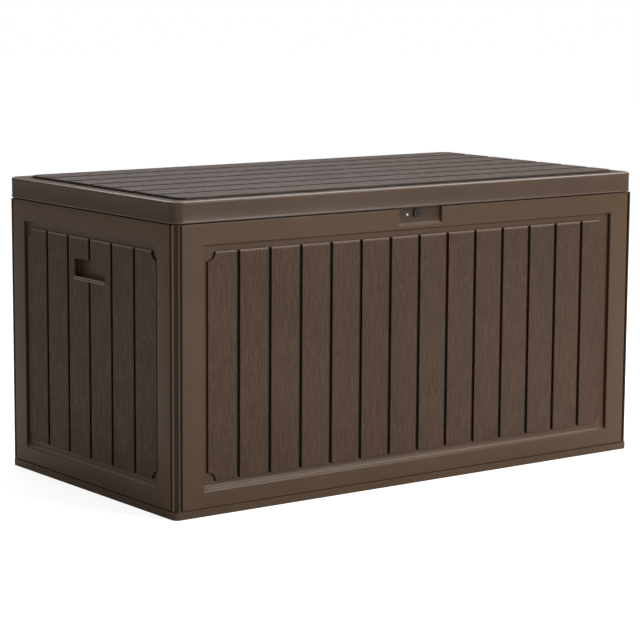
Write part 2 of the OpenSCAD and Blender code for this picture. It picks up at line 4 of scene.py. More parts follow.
import bmesh
import bpy
import numpy as np
from bpy.props import FloatProperty, FloatVectorProperty, IntProperty, PointerProperty
from mathutils import Matrix, Vector


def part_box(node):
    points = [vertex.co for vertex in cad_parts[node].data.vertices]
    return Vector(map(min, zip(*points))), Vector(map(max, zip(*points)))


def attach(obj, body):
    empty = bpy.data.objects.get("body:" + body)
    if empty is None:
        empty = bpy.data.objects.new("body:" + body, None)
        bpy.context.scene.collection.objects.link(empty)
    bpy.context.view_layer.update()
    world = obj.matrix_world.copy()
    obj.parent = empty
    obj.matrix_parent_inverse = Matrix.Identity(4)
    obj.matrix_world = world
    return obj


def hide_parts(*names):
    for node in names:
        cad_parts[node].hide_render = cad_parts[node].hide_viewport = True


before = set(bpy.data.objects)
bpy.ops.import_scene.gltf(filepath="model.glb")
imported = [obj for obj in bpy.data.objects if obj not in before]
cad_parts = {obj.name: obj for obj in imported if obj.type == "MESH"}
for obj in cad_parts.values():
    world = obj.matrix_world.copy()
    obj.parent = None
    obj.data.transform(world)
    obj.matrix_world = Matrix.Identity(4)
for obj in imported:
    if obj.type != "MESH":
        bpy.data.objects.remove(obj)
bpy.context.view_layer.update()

bl_info = {
    "name": "Deck storage box",
    "version": (1, 0, 0),
    "blender": (4, 5, 0),
    "location": "3D View > Sidebar > Deck Box",
    "description": "Moulded resin deck box with slatted walls, a planked lid and a cam lock",
    "category": "Object",
}

BODY_HALF_LENGTH = -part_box("post_front_left")[0].x
BODY_HALF_DEPTH = -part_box("post_front_left")[0].y
PANEL_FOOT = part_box("front_panel")[0].z
RIM_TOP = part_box("lock_housing")[1].z
LID_LOW, LID_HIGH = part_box("lid_shell")

FRONT_RAIL_NODES = ("front_rail_left", "front_rail_right", "lock_housing")

MM = 0.001
ARC_STEPS = 10                    # cells along a quarter round
BEAD_POINTS = 12                  # points round a gripping bead

# The hollows behind each slat, in metres.
WEB = 6 * MM                      # wall left between two hollows
HOLLOW = 4 * MM                   # depth of a hollow
SEAM = 0.5 * MM                   # run of a hollow's side
HOLLOW_ROWS = 3                   # hollows one above another

# Plan of a corner post, in millimetres from the walls' outer corner.
POST_LEG = 17.0                   # width of each of its two faces
COLUMN_RADIUS = 12.5              # the sunk column
RIM_RADIUS = 9.5                  # the rim's corner above the walls
FIN_MIDDLE = 10.5                 # middle of a fin
FIN_THICK = 2.4
WALL_THICK = 16.0
FLANGE = 4.0                      # thickness of the inner flanges
FLANGE_REACH = 28.0
COLUMN_POINTS = (6, 5)            # outside and inside the fin
TIP_POINTS = 9                    # round a fin's tip

CAMERA_PLACE = (-3.0018, -4.0023, 1.0674)
CAMERA_TURN = (-36.702, 8.713, 0.342)         # azimuth, elevation and roll in degrees


def size(name, description, default):
    """A length property in metres, given here in millimetres."""
    return FloatProperty(name=name, description=description, default=default * MM,
                         unit="LENGTH", subtype="DISTANCE", precision=5)


def tint(name, description, default):
    """A linear colour property."""
    return FloatVectorProperty(name=name, description=description, default=default,
                               subtype="COLOR", size=3, min=0.0, max=1.0)


class WallSizes(bpy.types.PropertyGroup):
    """Sizes of the four slatted walls."""

    thickness: size("Wall thickness", "Outer face to inner face", 16)
    top_edge: size("Top edge", "Height of the walls' top edge", 573)
    front_border: size("Front border", "Frame beside the front and back slats", 50)
    side_border: size("End border", "Frame beside the end slats", 45)
    top_rail: size("Top rail", "Frame above the slats", 42)
    foot_rail: size("Foot rail", "Frame below the slats", 33)
    field_depth: size("Field depth", "Depth of the sunk field", 9)
    slat_rise: size("Slat rise", "Height of a slat above the field", 5.5)
    groove: size("Groove", "Width between two slats", 7)
    front_gap: size("Front gap", "Field edge to the first front slat", 11.5)
    side_gap: size("End gap", "Field edge to the first end slat", 8)
    upper_gap: size("Upper gap", "Field edge to the slats' upper ends", 14)
    lower_gap: size("Lower gap", "Field edge to the slats' lower ends", 17)
    notch: size("Notch", "Radius of the outer slat corners' notches", 18)
    lip_run: size("Lip run", "Run of the sloped lip below the slats", 9)
    top_lip_run: size("Top lip run", "Run of the steep lip above the slats", 3)
    end_lip_run: size("End lip run", "Run of the steep lips beside the slats", 2)
    edge_round: size("Edge round", "Radius of the walls' outer edges", 1.6)
    slat_round: size("Slat round", "Radius of the slats' edges", 1.8)
    relief: size("Grain relief", "Height of the moulded wood grain", 0.22)
    rim_setback: size("Rim setback", "Setback of the rim inside the lid", 7)
    front_slats: IntProperty(name="Front slats", description="Slats on the long walls", default=14)
    side_slats: IntProperty(name="End slats", description="Slats on the end walls", default=6)


class OpeningSizes(bpy.types.PropertyGroup):
    """Sizes of the finger pocket and the hand holds."""

    pocket_width: size("Pocket width", "Width of the finger pocket", 111)
    pocket_height: size("Pocket height", "Height of the finger pocket", 32)
    pocket_depth: size("Pocket depth", "Depth at the pocket's middle", 16)
    pocket_end_depth: size("Pocket end depth", "Depth at the pocket's ends", 7)
    hold_width: size("Hold width", "Width of a hand hold", 117)
    hold_height: size("Hold height", "Height of a hand hold", 38)
    hold_level: size("Hold level", "Height of a hand hold's middle", 453)


class LidSizes(bpy.types.PropertyGroup):
    """Sizes of the lid."""

    wall: size("Lid wall", "Thickness of the lid's skirt", 3.5)
    corner: size("Lid corner", "Plan radius of the lid's corners", 24)
    edge: size("Lid edge", "Radius of the lid's upper edge", 6)
    rim_width: size("Rim width", "Rim in front of the planks", 30)
    rim_extra: size("Rear rim extra", "Extra rim behind the planks", 6)
    rim_side: size("End rim", "Rim beside the planks", 32)
    rise: size("Plank rise", "Height of the planks above the rim", 4.5)
    chamfer: size("Plank field chamfer", "Chamfer of the plank field's corners", 15)
    groove: size("Plank groove", "Width between two planks", 12)
    groove_depth: size("Plank groove depth", "Depth between two planks", 3.5)
    ring: size("Ring groove", "Width of the groove round the planks", 4)
    ring_depth: size("Ring groove depth", "Depth of the groove round the planks", 2)
    plank_round: size("Plank round", "Radius of the planks' edges", 0.9)
    relief: size("Grain relief", "Height of the moulded wood grain", 0.2)
    planks: IntProperty(name="Planks", description="Planks on the lid", default=7)


class BoxColours(bpy.types.PropertyGroup):
    """Colours of the finishes."""

    body: tint("Body resin", "Frames, posts and tray", (0.121, 0.071, 0.038))
    slats: tint("Slat resin", "Wood-grained slats", (0.110, 0.061, 0.037))
    lid: tint("Lid resin", "Skirt and rim of the lid", (0.110, 0.067, 0.042))
    planks: tint("Plank resin", "Wood-grained planks", (0.098, 0.061, 0.043))
    inner: tint("Inner resin", "Liner inside the lid", (0.085, 0.056, 0.038))
    coat: tint("Powder coat", "Hinge leaves", (0.02, 0.018, 0.017))
    zinc: tint("Zinc plate", "Pins, screws and tubes", (0.55, 0.56, 0.57))
    lock: tint("Lock black", "Face of the lock", (0.012, 0.011, 0.010))
    marker: tint("Marker white", "Peg beside the lock", (0.86, 0.86, 0.84))


class StageSettings(bpy.types.PropertyGroup):
    """Floor, lights and camera."""

    floor: tint("Floor", "Colour of the floor", (0.86, 0.86, 0.86))
    sky: FloatProperty(name="Sky", description="Strength of the sky", default=0.23, min=0.0)
    key: FloatProperty(name="Key", description="Power of the key light", default=125.0,
                       min=0.0, unit="POWER")
    top: FloatProperty(name="Top", description="Power of the top light", default=62.0,
                       min=0.0, unit="POWER")
    rear: FloatProperty(name="Rear", description="Power of the rear light", default=30.0,
                        min=0.0, unit="POWER")
    side: FloatProperty(name="Side", description="Power of the side light", default=2.2,
                        min=0.0, unit="POWER")
    lens: FloatProperty(name="Lens", description="Focal length", default=131.41,
                        min=10.0, subtype="DISTANCE_CAMERA")


def walls():
    """The scene's walls' sizes."""
    return bpy.context.scene.deck_box_walls


def openings():
    """The scene's openings' sizes."""
    return bpy.context.scene.deck_box_openings


def lid_sizes():
    """The scene's lid's sizes."""
    return bpy.context.scene.deck_box_lid


def colours():
    """The scene's colours."""
    return bpy.context.scene.deck_box_colours


def stage_settings():
    """The scene's stage's settings."""
    return bpy.context.scene.deck_box_stage


# ---- number tools -------------------------------------------------------------------


def soft_ramp(q, run, rise, blend):
    """A straight slope from 0 at q = 0 up to rise at q = run, both ends rounded over blend.

    It is rise / run times the difference of two rounded hinges, where a rounded hinge is
    0 below -blend / 2, its argument above +blend / 2 and a parabola between.
    """
    def hinge(v):
        middle = (v + blend / 2) ** 2 / (2 * blend)
        return np.where(v < -blend / 2, 0.0, np.where(v > blend / 2, v, middle))

    return rise / run * (hinge(q) - hinge(q - run))


def soft_least(a, b, blend):
    """The lesser of two heights, less h * h / (4 * blend) where they are within blend of
    each other and h is blend minus their difference."""
    near = np.maximum(blend - np.abs(a - b), 0)
    return np.minimum(a, b) - near * near / (4 * blend)


def round_drop(q, radius):
    """How far a quarter-round edge of that radius has dropped at a distance q inside it."""
    inside = np.clip(radius - q, 0.0, radius)
    return radius - np.sqrt(radius * radius - inside * inside)


def value_noise(a, b, seed):
    """Random lattice values from -1 to 1, joined between lattice points by smooth steps."""
    table = np.random.default_rng(seed).random((128, 128)) * 2 - 1
    low_a = np.floor(a).astype(int)
    low_b = np.floor(b).astype(int)
    ta = a - low_a
    tb = b - low_b
    ta = ta * ta * (3 - 2 * ta)
    tb = tb * tb * (3 - 2 * tb)

    def at(i, k):
        return table[(low_a + i) % 128, (low_b + k) % 128]

    lower = at(0, 0) * (1 - ta) + at(1, 0) * ta
    upper = at(0, 1) * (1 - ta) + at(1, 1) * ta
    return lower * (1 - tb) + upper * tb


def wood_relief(across, along, seed):
    """Moulded grain from -1 to 1: three stretched value noises bent by a slow fourth one."""
    bend = value_noise(across / 0.03, along / 0.11, seed + 1) * 0.004
    a = across + bend
    fine = value_noise(a / 0.0034, along / 0.075, seed + 2)
    middle = value_noise(a / 0.0071, along / 0.15, seed + 3)
    broad = value_noise(a / 0.019, along / 0.33, seed + 4)
    return 0.5 * fine + 0.3 * middle + 0.2 * broad


def grid_lines(must, low, high, step, clusters):
    """Sorted grid lines: every value of must, even lines a step apart, and round each
    cluster (first, last, spacing) lines that far apart; lines too near a must are left out."""
    extra = [np.linspace(low, high, max(2, int(round((high - low) / step)) + 1))]
    extra += [np.arange(first, last + spacing / 2, spacing) for first, last, spacing in clusters]
    kept = np.unique(np.round(np.array(sorted(must)), 7))
    kept = kept[(kept >= low) & (kept <= high)]
    result = list(kept)
    spacings = [step * 0.35] + [c[2] * 0.45 for c in clusters]
    groups = list(zip(extra, spacings))
    for values, room in sorted(groups, key=lambda g: g[1]):
        for value in values[(values >= low) & (values <= high)]:
            if min(abs(value - other) for other in result) > room:
                result.append(value)
    return np.array(sorted(result))


# ---- mesh tools ---------------------------------------------------------------------


def sheet_solid(front, back, keep):
    """Quads of a closed solid between two point grids of the same shape: the front cells,
    the back cells turned round, and a wall wherever a kept cell meets one left out."""
    rows, columns = front.shape[:2]
    count = rows * columns
    index = np.arange(count).reshape(rows, columns)
    cell = np.stack([index[:-1, :-1], index[:-1, 1:], index[1:, 1:], index[1:, :-1]], -1)[keep]
    quads = [cell, cell[:, ::-1] + count]
    padded = np.pad(keep, 1)
    left, right = padded[1:-1, :-1], padded[1:-1, 1:]
    low, high = index[:-1, :], index[1:, :]
    wall = np.stack([low, high, high + count, low + count], -1)
    quads += [wall[right & ~left], wall[left & ~right][:, ::-1]]
    below, above = padded[:-1, 1:-1], padded[1:, 1:-1]
    near, far = index[:, :-1], index[:, 1:]
    wall = np.stack([near, near + count, far + count, far], -1)
    quads += [wall[above & ~below], wall[below & ~above][:, ::-1]]
    return np.concatenate([front.reshape(-1, 3), back.reshape(-1, 3)]), np.concatenate(quads)


def ring_solid(rings):
    """Points, quads and two caps of a solid whose skin runs from ring to ring; every ring
    has the same number of points, counter-clockwise seen from above."""
    rings = np.asarray(rings, float)
    count, around = rings.shape[:2]
    index = np.arange(count * around).reshape(count, around)
    turned = np.roll(index, -1, axis=1)
    quads = np.stack([index[:-1], turned[:-1], turned[1:], index[1:]], -1).reshape(-1, 4)
    return rings.reshape(-1, 3), quads, [index[0][::-1], index[-1]]


def join_parts(parts):
    """Several (points, quads, caps) as one."""
    points, quads, caps, start = [], [], [], 0
    for part in parts:
        points.append(part[0])
        quads.append(part[1] + start)
        caps += [cap + start for cap in (part[2] if len(part) > 2 else [])]
        start += len(part[0])
    return np.concatenate(points), np.concatenate(quads), caps


def new_piece(name, part, material, body, nodes=(), sharp=35.0, shade=None,
              painted_highlight=None):
    """Puts points, quads and caps into a mesh object that rides on a body; shade is how
    strongly painted shade darkens each point, as in grooves and hollows, and the second
    mark how strongly a painted highlight lightens it and lowers its roughness, both
    from 0 to 1 and kept as attributes."""
    points, quads, caps = part if len(part) > 2 else (part[0], part[1], [])
    corners = [quads.ravel()] + [np.asarray(cap) for cap in caps]
    sizes = np.array([4] * len(quads) + [len(cap) for cap in caps])
    corners = np.concatenate(corners)
    used, corners = np.unique(corners, return_inverse=True)
    points = points[used]
    mesh = bpy.data.meshes.new(name)
    mesh.vertices.add(len(points))
    mesh.vertices.foreach_set("co", points.astype(np.float32).ravel())
    mesh.loops.add(len(corners))
    mesh.loops.foreach_set("vertex_index", corners.astype(np.int32))
    mesh.polygons.add(len(sizes))
    starts = np.concatenate([[0], np.cumsum(sizes)[:-1]])
    mesh.polygons.foreach_set("loop_start", starts.astype(np.int32))
    mesh.update(calc_edges=True)
    if mesh.validate(verbose=False):
        raise RuntimeError(f"{name}: its mesh had faults")
    mesh.shade_smooth()
    mesh.set_sharp_from_angle(angle=math.radians(sharp))
    # painted shade and painted highlight go to the materials as point attributes
    for label, values in (("shade", shade), ("painted_highlight", painted_highlight)):
        if values is not None:
            layer = mesh.attributes.new(label, "FLOAT", "POINT")
            layer.data.foreach_set("value", values[used].astype(np.float32))
    piece = bpy.data.objects.new(name, mesh)
    bpy.context.scene.collection.objects.link(piece)
    mesh.materials.append(material)
    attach(piece, body)
    if nodes:
        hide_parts(*nodes)
    return piece


def softened_copy(name, node, width, material, body):
    """A copy of a CAD node's mesh, merged, with its flat faces joined and its edges rounded
    by a bevel of that width."""
    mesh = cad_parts[node].data.copy()
    mesh.name = name
    mesh.materials.clear()
    mesh.materials.append(material)
    work = bmesh.new()
    work.from_mesh(mesh)
    bmesh.ops.remove_doubles(work, verts=work.verts, dist=2e-6)
    bmesh.ops.dissolve_limit(work, angle_limit=math.radians(0.4), verts=work.verts,
                             edges=work.edges)
    for face in work.faces:
        face.material_index = 0
        face.smooth = True
    work.to_mesh(mesh)
    work.free()
    mesh.set_sharp_from_angle(angle=math.radians(35))
    piece = bpy.data.objects.new(name, mesh)
    bpy.context.scene.collection.objects.link(piece)
    bevel = piece.modifiers.new("Edge", "BEVEL")
    bevel.width = width
    bevel.segments = 2
    bevel.limit_method = "ANGLE"
    bevel.angle_limit = math.radians(40)
    bevel.harden_normals = True
    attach(piece, body)
    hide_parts(node)
    return piece


# ---- walls --------------------------------------------------------------------------


def stand_front(x, depth, z):
    """Wall coordinates to the front wall: x to the right, depth inwards, z up."""
    return np.stack([x, depth - BODY_HALF_DEPTH, z], -1)


def stand_back(x, depth, z):
    """Wall coordinates to the back wall, seen from behind."""
    return np.stack([-x, BODY_HALF_DEPTH - depth, z], -1)


def stand_left(x, depth, z):
    """Wall coordinates to the left end wall, seen from the left."""
    return np.stack([depth - BODY_HALF_LENGTH, -x, z], -1)


def stand_right(x, depth, z):
    """Wall coordinates to the right end wall, seen from the right."""
    return np.stack([BODY_HALF_LENGTH - depth, x, z], -1)


class WallPlan(NamedTuple):
    """Where the sunk field and the slats of a wall lie, in wall coordinates."""

    half: float                   # half the wall's length
    field: float                  # half the field's width
    foot: float                   # the field's lower edge
    head: float                   # the field's upper edge
    start: float                  # left edge of the first slat
    low: float                    # lower ends of the slats
    high: float                   # upper ends of the slats
    pitch: float                  # from one slat to the next
    slat: float                   # width of a slat
    count: int                    # slats on the wall


def wall_plan(long_wall):
    """The plan of a long wall or an end wall: its slats share out the field's width."""
    w = walls()
    node = "front_panel" if long_wall else "left_panel"
    low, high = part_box(node)
    half = (high.x - low.x) / 2 if long_wall else (high.y - low.y) / 2
    border = w.front_border if long_wall else w.side_border
    gap = w.front_gap if long_wall else w.side_gap
    count = w.front_slats if long_wall else w.side_slats
    field = half - border
    foot = PANEL_FOOT + w.foot_rail
    head = w.top_edge - w.top_rail
    pitch = (2 * (field - gap) + w.groove) / count
    return WallPlan(half, field, foot, head, -field + gap, foot + w.lower_gap,
                    head - w.upper_gap, pitch, pitch - w.groove, count)


def pocket_edges():
    """Half the finger pocket's width, and the height of its ledge."""
    return openings().pocket_width / 2, walls().top_edge - openings().pocket_height


def hold_edges():
    """Half a hand hold's width, and the heights of its lower and upper edges."""
    o = openings()
    return (o.hold_width / 2, o.hold_level - o.hold_height / 2,
            o.hold_level + o.hold_height / 2)


def outside_rectangle(x, z, x0, x1, z0, z1):
    """Distance to a rectangle, 0 on and inside it."""
    dx = np.maximum(np.maximum(x0 - x, x - x1), 0)
    dz = np.maximum(np.maximum(z0 - z, z - z1), 0)
    return np.hypot(dx, dz)


def cells_outside_hold(across, up):
    """Which cells between two sets of grid lines have their middles outside a hand hold."""
    hx, h0, h1 = hold_edges()
    middle_x = (across[:-1] + across[1:]) / 2
    middle_z = (up[:-1] + up[1:]) / 2
    return ~((np.abs(middle_x)[None, :] < hx) & ((middle_z > h0) & (middle_z < h1))[:, None])


def pocket_depth(x):
    """Depth of the finger pocket's back along its width: an arc of a circle."""
    o = openings()
    sag = o.pocket_depth - o.pocket_end_depth
    half = o.pocket_width / 2
    radius = (half * half + sag * sag) / (2 * sag)
    return o.pocket_depth - radius + np.sqrt(np.maximum(radius ** 2 - x ** 2, 0))


def hollow_levels(plan):
    """Lower and upper edges of the hollows behind a slat, and their pitch."""
    first = plan.low + WEB
    pitch = (plan.high - WEB - first + WEB) / HOLLOW_ROWS
    return (first + pitch * np.arange(HOLLOW_ROWS),
            first + pitch * np.arange(1, HOLLOW_ROWS + 1) - WEB, pitch)


def wall_grid(plan, pocket, hold):
    """Grid lines of a wall's frame: close together along the outer edges, the field's lips
    and the openings, on both sides of the hollows' seams, and 30 mm apart elsewhere."""
    w = walls()
    fine, extra_fine, wide = 0.4 * MM, 0.3 * MM, 30 * MM
    r = w.edge_round
    starts = plan.start + plan.pitch * np.arange(plan.count)
    columns = np.concatenate([starts + WEB, starts + plan.slat - WEB])
    rows = np.concatenate(hollow_levels(plan)[:2])
    reach = -plan.start - plan.slat / 2
    must_x = [-plan.half, plan.half, *columns, *(columns + SEAM), *(columns - SEAM)]
    clusters_x = [(-plan.half, -plan.half + r, fine), (plan.half - r, plan.half, fine)]
    for side in (-1, 1):
        must_x += [side * reach, side * (reach - 3 * MM)]
        low, high = sorted((side * (plan.field + MM), side * (plan.field - 4 * MM)))
        clusters_x.append((low, high, fine))
    must_z = [PANEL_FOOT, RIM_TOP, w.top_edge, w.top_edge + 0.3 * MM, plan.low, plan.high,
              plan.low + 3 * MM, plan.high - 3 * MM, *rows, *(rows + SEAM), *(rows - SEAM)]
    clusters_z = [
        (PANEL_FOOT, PANEL_FOOT + r, fine), (w.top_edge - r, w.top_edge, fine),
        (plan.foot - 4.2 * MM, plan.foot + w.lip_run + 4.2 * MM, 0.6 * MM),
        (plan.head - w.top_lip_run - 1.8 * MM, plan.head + 1.8 * MM, fine),
    ]
    if pocket:
        px, pz = pocket_edges()
        clusters_x += [(side - 1.8 * MM, side + 1.8 * MM, extra_fine) for side in (-px, px)]
        clusters_x.append((-px, px, 3 * MM))
        must_z.append(w.top_edge + 3 * MM)
        clusters_z.append((pz - 3 * MM, pz + 3 * MM, extra_fine))
    if hold:
        hx, h0, h1 = hold_edges()
        must_x += [-hx, hx]
        must_z += [h0, h1]
        clusters_x += [(side - 1.6 * MM, side + 1.6 * MM, fine) for side in (-hx, hx)]
        clusters_z += [(level - 1.6 * MM, level + 1.6 * MM, fine) for level in (h0, h1)]
    return (grid_lines(must_x, -plan.half, plan.half, wide, clusters_x),
            grid_lines(must_z, PANEL_FOOT, RIM_TOP, wide, clusters_z))


def field_lips(plan, x, z):
    """How far each lip alone would have gone down into the field: soft ramps inwards from
    the field's ends, up from its lower edge and down from its upper edge."""
    w = walls()
    return (soft_ramp(plan.field - np.abs(x), w.end_lip_run, w.field_depth, 1.2 * MM),
            soft_ramp(z - plan.foot, w.lip_run, w.field_depth, 7.5 * MM),
            soft_ramp(plan.head - z, w.top_lip_run, w.field_depth, 2.4 * MM))


def wall_face(plan, x, z, pocket, hold):
    """Depth of a wall's outer face.

    It is the least of the lips' ramps, softly joined, plus quarter-round drops along the
    outer edges and round a hand hold, and at least the finger pocket's arc where there is
    one; above the top edge it is the rim's setback.
    """
    w = walls()
    side_in, foot_in, top_in = field_lips(plan, x, z)
    depth = soft_least(side_in, soft_least(foot_in, top_in, 1 * MM), 3 * MM)
    edge = np.minimum(plan.half - np.abs(x),
                      np.minimum(z - PANEL_FOOT, np.abs(w.top_edge - z)))
    depth = np.maximum(depth, 0) + round_drop(edge, w.edge_round)
    if pocket:
        px, pz = pocket_edges()
        beside = soft_ramp(px - np.abs(x) + 0.3 * MM, 0.6 * MM, 1.0, 1.0 * MM)
        above = soft_ramp(z - pz + 1.4 * MM, 2.8 * MM, 1.0, 2.6 * MM)
        arch = pocket_depth(np.clip(x, -px, px))
        depth = np.maximum(depth, arch * np.minimum(beside, above))
    depth = np.where(z > w.top_edge + 0.1 * MM, np.maximum(w.rim_setback, depth), depth)
    if hold:
        hx, h0, h1 = hold_edges()
        depth = depth + round_drop(outside_rectangle(x, z, -hx, hx, h0, h1), 1.4 * MM)
    return depth


def hollow_rise(inside):
    """How far a hollow goes in at a distance inside its edge: a soft ramp over its seam."""
    return soft_ramp(inside + SEAM / 2, SEAM, HOLLOW, SEAM / 2)


def wall_back(plan, x, z, depth, pocket, hold):
    """Depth of a wall's inner face: its thickness less the hollows behind each slat, with
    the hollows left out round a hand hold, and 2.5 mm of wall kept behind the pocket."""
    w = walls()
    behind = np.full_like(x, w.thickness)
    lows, _, pitch = hollow_levels(plan)
    for start in plan.start + plan.pitch * np.arange(plan.count):
        across = hollow_rise(np.minimum(x - start - WEB, start + plan.slat - WEB - x))
        for low in lows:
            up = hollow_rise(np.minimum(z - low, low + pitch - WEB - z))
            behind = behind - np.minimum(across, up)
    if pocket:
        px, pz = pocket_edges()
        near = outside_rectangle(x, z, -px - 2 * MM, px + 2 * MM, pz - 2 * MM, RIM_TOP) <= 0
        behind = np.where(near, np.maximum(w.thickness, depth + 2.5 * MM), behind)
    if hold:
        hx, h0, h1 = hold_edges()
        near = outside_rectangle(x, z, -hx - WEB, hx + WEB, h0 - WEB, h1 + WEB) <= 0
        behind = np.where(near, w.thickness, behind)
    return behind


def wall_painted_light(plan, x, z, pocket):
    """Painted shade and painted highlight of a wall's outer face.

    Painted shade is full in the field's grooves and less on its end lips, on the ledge under
    the lid and in the pocket's hollow, where shadow falls. The painted highlight is a bell
    curve over the middle of the lower lip and one over the pocket's ledge.
    """
    w = walls()
    _, foot_in, top_in = field_lips(plan, x, z)
    # painted shade in the grooves between slats, and less on the end lips
    reach = -plan.start - plan.slat / 2
    within = np.minimum(np.minimum(z - plan.low, plan.high - z), reach - np.abs(x))
    shade = np.clip(within / (3 * MM), 0, 1)
    from_lip = np.abs(plan.field - w.end_lip_run / 2 - np.abs(x))
    end_lip = np.clip(1.4 - from_lip / MM, 0, 1) * np.clip(top_in / w.field_depth, 0, 1)
    shade = np.maximum(shade, 0.8 * end_lip * np.clip(foot_in / w.field_depth, 0, 1))
    # painted shadow on the ledge and rim under the lid
    under_lid = (z > w.top_edge - 0.3 * MM) & (z < w.top_edge + 3 * MM)
    shade = np.where(under_lid, 0.6, shade)
    # painted highlight over the middle of the lower lip
    lip_middle = np.exp(-((z - plan.foot - 0.45 * w.lip_run) / (2.2 * MM)) ** 2)
    painted_highlight = 0.45 * lip_middle * np.clip((plan.field - 6 * MM - np.abs(x)) / (14 * MM), 0, 1)
    if pocket:
        px, pz = pocket_edges()
        # painted highlight along the pocket's ledge, and painted shadow in its hollow
        ledge = np.exp(-((z - pz - 0.2 * MM) / (1.9 * MM)) ** 2)
        hollow = (np.abs(x) < px + 0.5 * MM) & (z > pz + 2 * MM) & (z < w.top_edge + 0.2 * MM)
        shade = np.where(hollow, 0.4, shade)
        painted_highlight = np.maximum(painted_highlight, ledge * (np.abs(x) < px))
    return shade, painted_highlight


def wall_frame(plan, stand, pocket, hold):
    """The frame and the sunk field of a wall as one closed solid, with its painted shade and
    painted highlight.
    """
    xs, zs = wall_grid(plan, pocket, hold)
    x, z = np.meshgrid(xs, zs)
    depth = wall_face(plan, x, z, pocket, hold)
    behind = wall_back(plan, x, z, depth, pocket, hold)
    keep = cells_outside_hold(xs, zs) if hold else np.ones((len(zs) - 1, len(xs) - 1), bool)
    shade, painted_highlight = wall_painted_light(plan, x, z, pocket)
    plain = np.zeros(x.size)
    return (sheet_solid(stand(x, depth, z), stand(x, behind, z), keep),
            np.concatenate([shade.ravel(), plain]), np.concatenate([painted_highlight.ravel(), plain]))


def slat_grid(plan, start, corner, cut):
    """Grid lines of a slat, across from its left edge and up: close together along its
    edges, round an outer slat's notches and beside a hand hold."""
    fine, edge = 0.45 * MM, 2.2 * MM
    low, high = plan.low, plan.high
    clusters_u = [(0, edge, fine), (plan.slat - edge, plan.slat, fine)]
    clusters_z = [(low, low + edge, fine), (high - edge, high, fine)]
    must_u, must_z = [0, plan.slat], [low, high]
    if corner:
        notch = walls().notch
        turn = np.sin(np.linspace(0, math.pi / 2, ARC_STEPS + 1)) * notch
        must_z += list(low + turn) + list(high - turn)
        clusters_z += [(low + notch, low + notch + edge, fine),
                       (high - notch - edge, high - notch, fine)]
    if cut:
        hx, h0, h1 = hold_edges()
        must_z += [h0, h1]
        clusters_z += [(h0 - edge, h0, fine), (h1, h1 + edge, fine)]
        for side in (-hx, hx):
            if start < side < start + plan.slat:
                must_u.append(side - start)
                clusters_u.append((side - start - 2 * MM, side - start + 2 * MM, fine))
    return (grid_lines(must_u, 0, plan.slat, 2.4 * MM, clusters_u),
            grid_lines(must_z, low, high, 5.5 * MM, clusters_z))


def wall_slat(plan, stand, number, hold, seed):
    """One slat as a closed solid with moulded grain, with its painted shade and painted highlight.

    The grid is stretched between the slat's left and right outlines, and an outer slat's
    outline follows the quarter-round notch. The face stands back by the quarter-round drop
    at its distance from the outline, and the grain's relief fades out towards the edges.
    """
    w = walls()
    start = plan.start + number * plan.pitch
    end = start + plan.slat
    first, last = number == 0, number == plan.count - 1
    hx, h0, h1 = hold_edges()
    cut = hold and start < hx and end > -hx
    us, zs = slat_grid(plan, start, first or last, cut)
    u, z = np.meshgrid(us, zs)
    reach = np.minimum(z - plan.low, plan.high - z)
    bite = np.sqrt(np.maximum(w.notch ** 2 - reach ** 2, 0))
    left = start + (bite if first else 0)
    right = end - (bite if last else 0)
    x = left + (right - left) * u / plan.slat
    inside = np.minimum(np.minimum(x - start, end - x), reach)
    if first:
        inside = np.minimum(inside, np.hypot(x - start, reach) - w.notch)
    if last:
        inside = np.minimum(inside, np.hypot(end - x, reach) - w.notch)
    keep = np.ones((len(zs) - 1, len(us) - 1), bool)
    if cut:
        inside = np.minimum(inside, outside_rectangle(x, z, -hx, hx, h0, h1))
        keep = cells_outside_hold(start + us, zs)
    inside = np.maximum(inside, 0)
    grain = wood_relief(x, z, seed) * w.relief * np.clip(inside / (4 * MM), 0, 1)
    depth = w.field_depth - w.slat_rise + round_drop(inside, w.slat_round) + grain
    foot = np.full_like(depth, w.field_depth + 0.4 * MM)
    # painted shade along the slat's long sides and over its back, and a painted highlight along
    # its upper end
    shade = np.clip(1 - np.minimum(x - left, right - x) / (0.7 * MM), 0, 1)
    painted_highlight = np.clip(1.3 - np.abs(plan.high - z - 0.9 * MM) / (1.6 * MM), 0, 1) * (1 - shade)
    return (sheet_solid(stand(x, depth, z), stand(x, foot, z), keep),
            np.concatenate([shade.ravel(), np.ones(x.size)]),
            np.concatenate([painted_highlight.ravel(), np.zeros(x.size)]))


def grip_lip(stand):
    """Two round beads along a hand hold's lower edge: a circle of points carried from one
    end of the hold to the other."""
    half, low, _ = hold_edges()
    angle = np.radians(np.arange(BEAD_POINTS) * 360 / BEAD_POINTS)
    beads = []
    for depth, level, radius in ((4.4 * MM, low + 0.6 * MM, 1.5 * MM),
                                 (3.2 * MM, low - 3.4 * MM, 1.4 * MM)):
        beads.append(ring_solid([stand(np.full(BEAD_POINTS, end),
                                       depth - radius * np.cos(angle),
                                       level - radius * np.sin(angle))
                                 for end in (-half - 1 * MM, half + 1 * MM)]))
    return join_parts(beads)


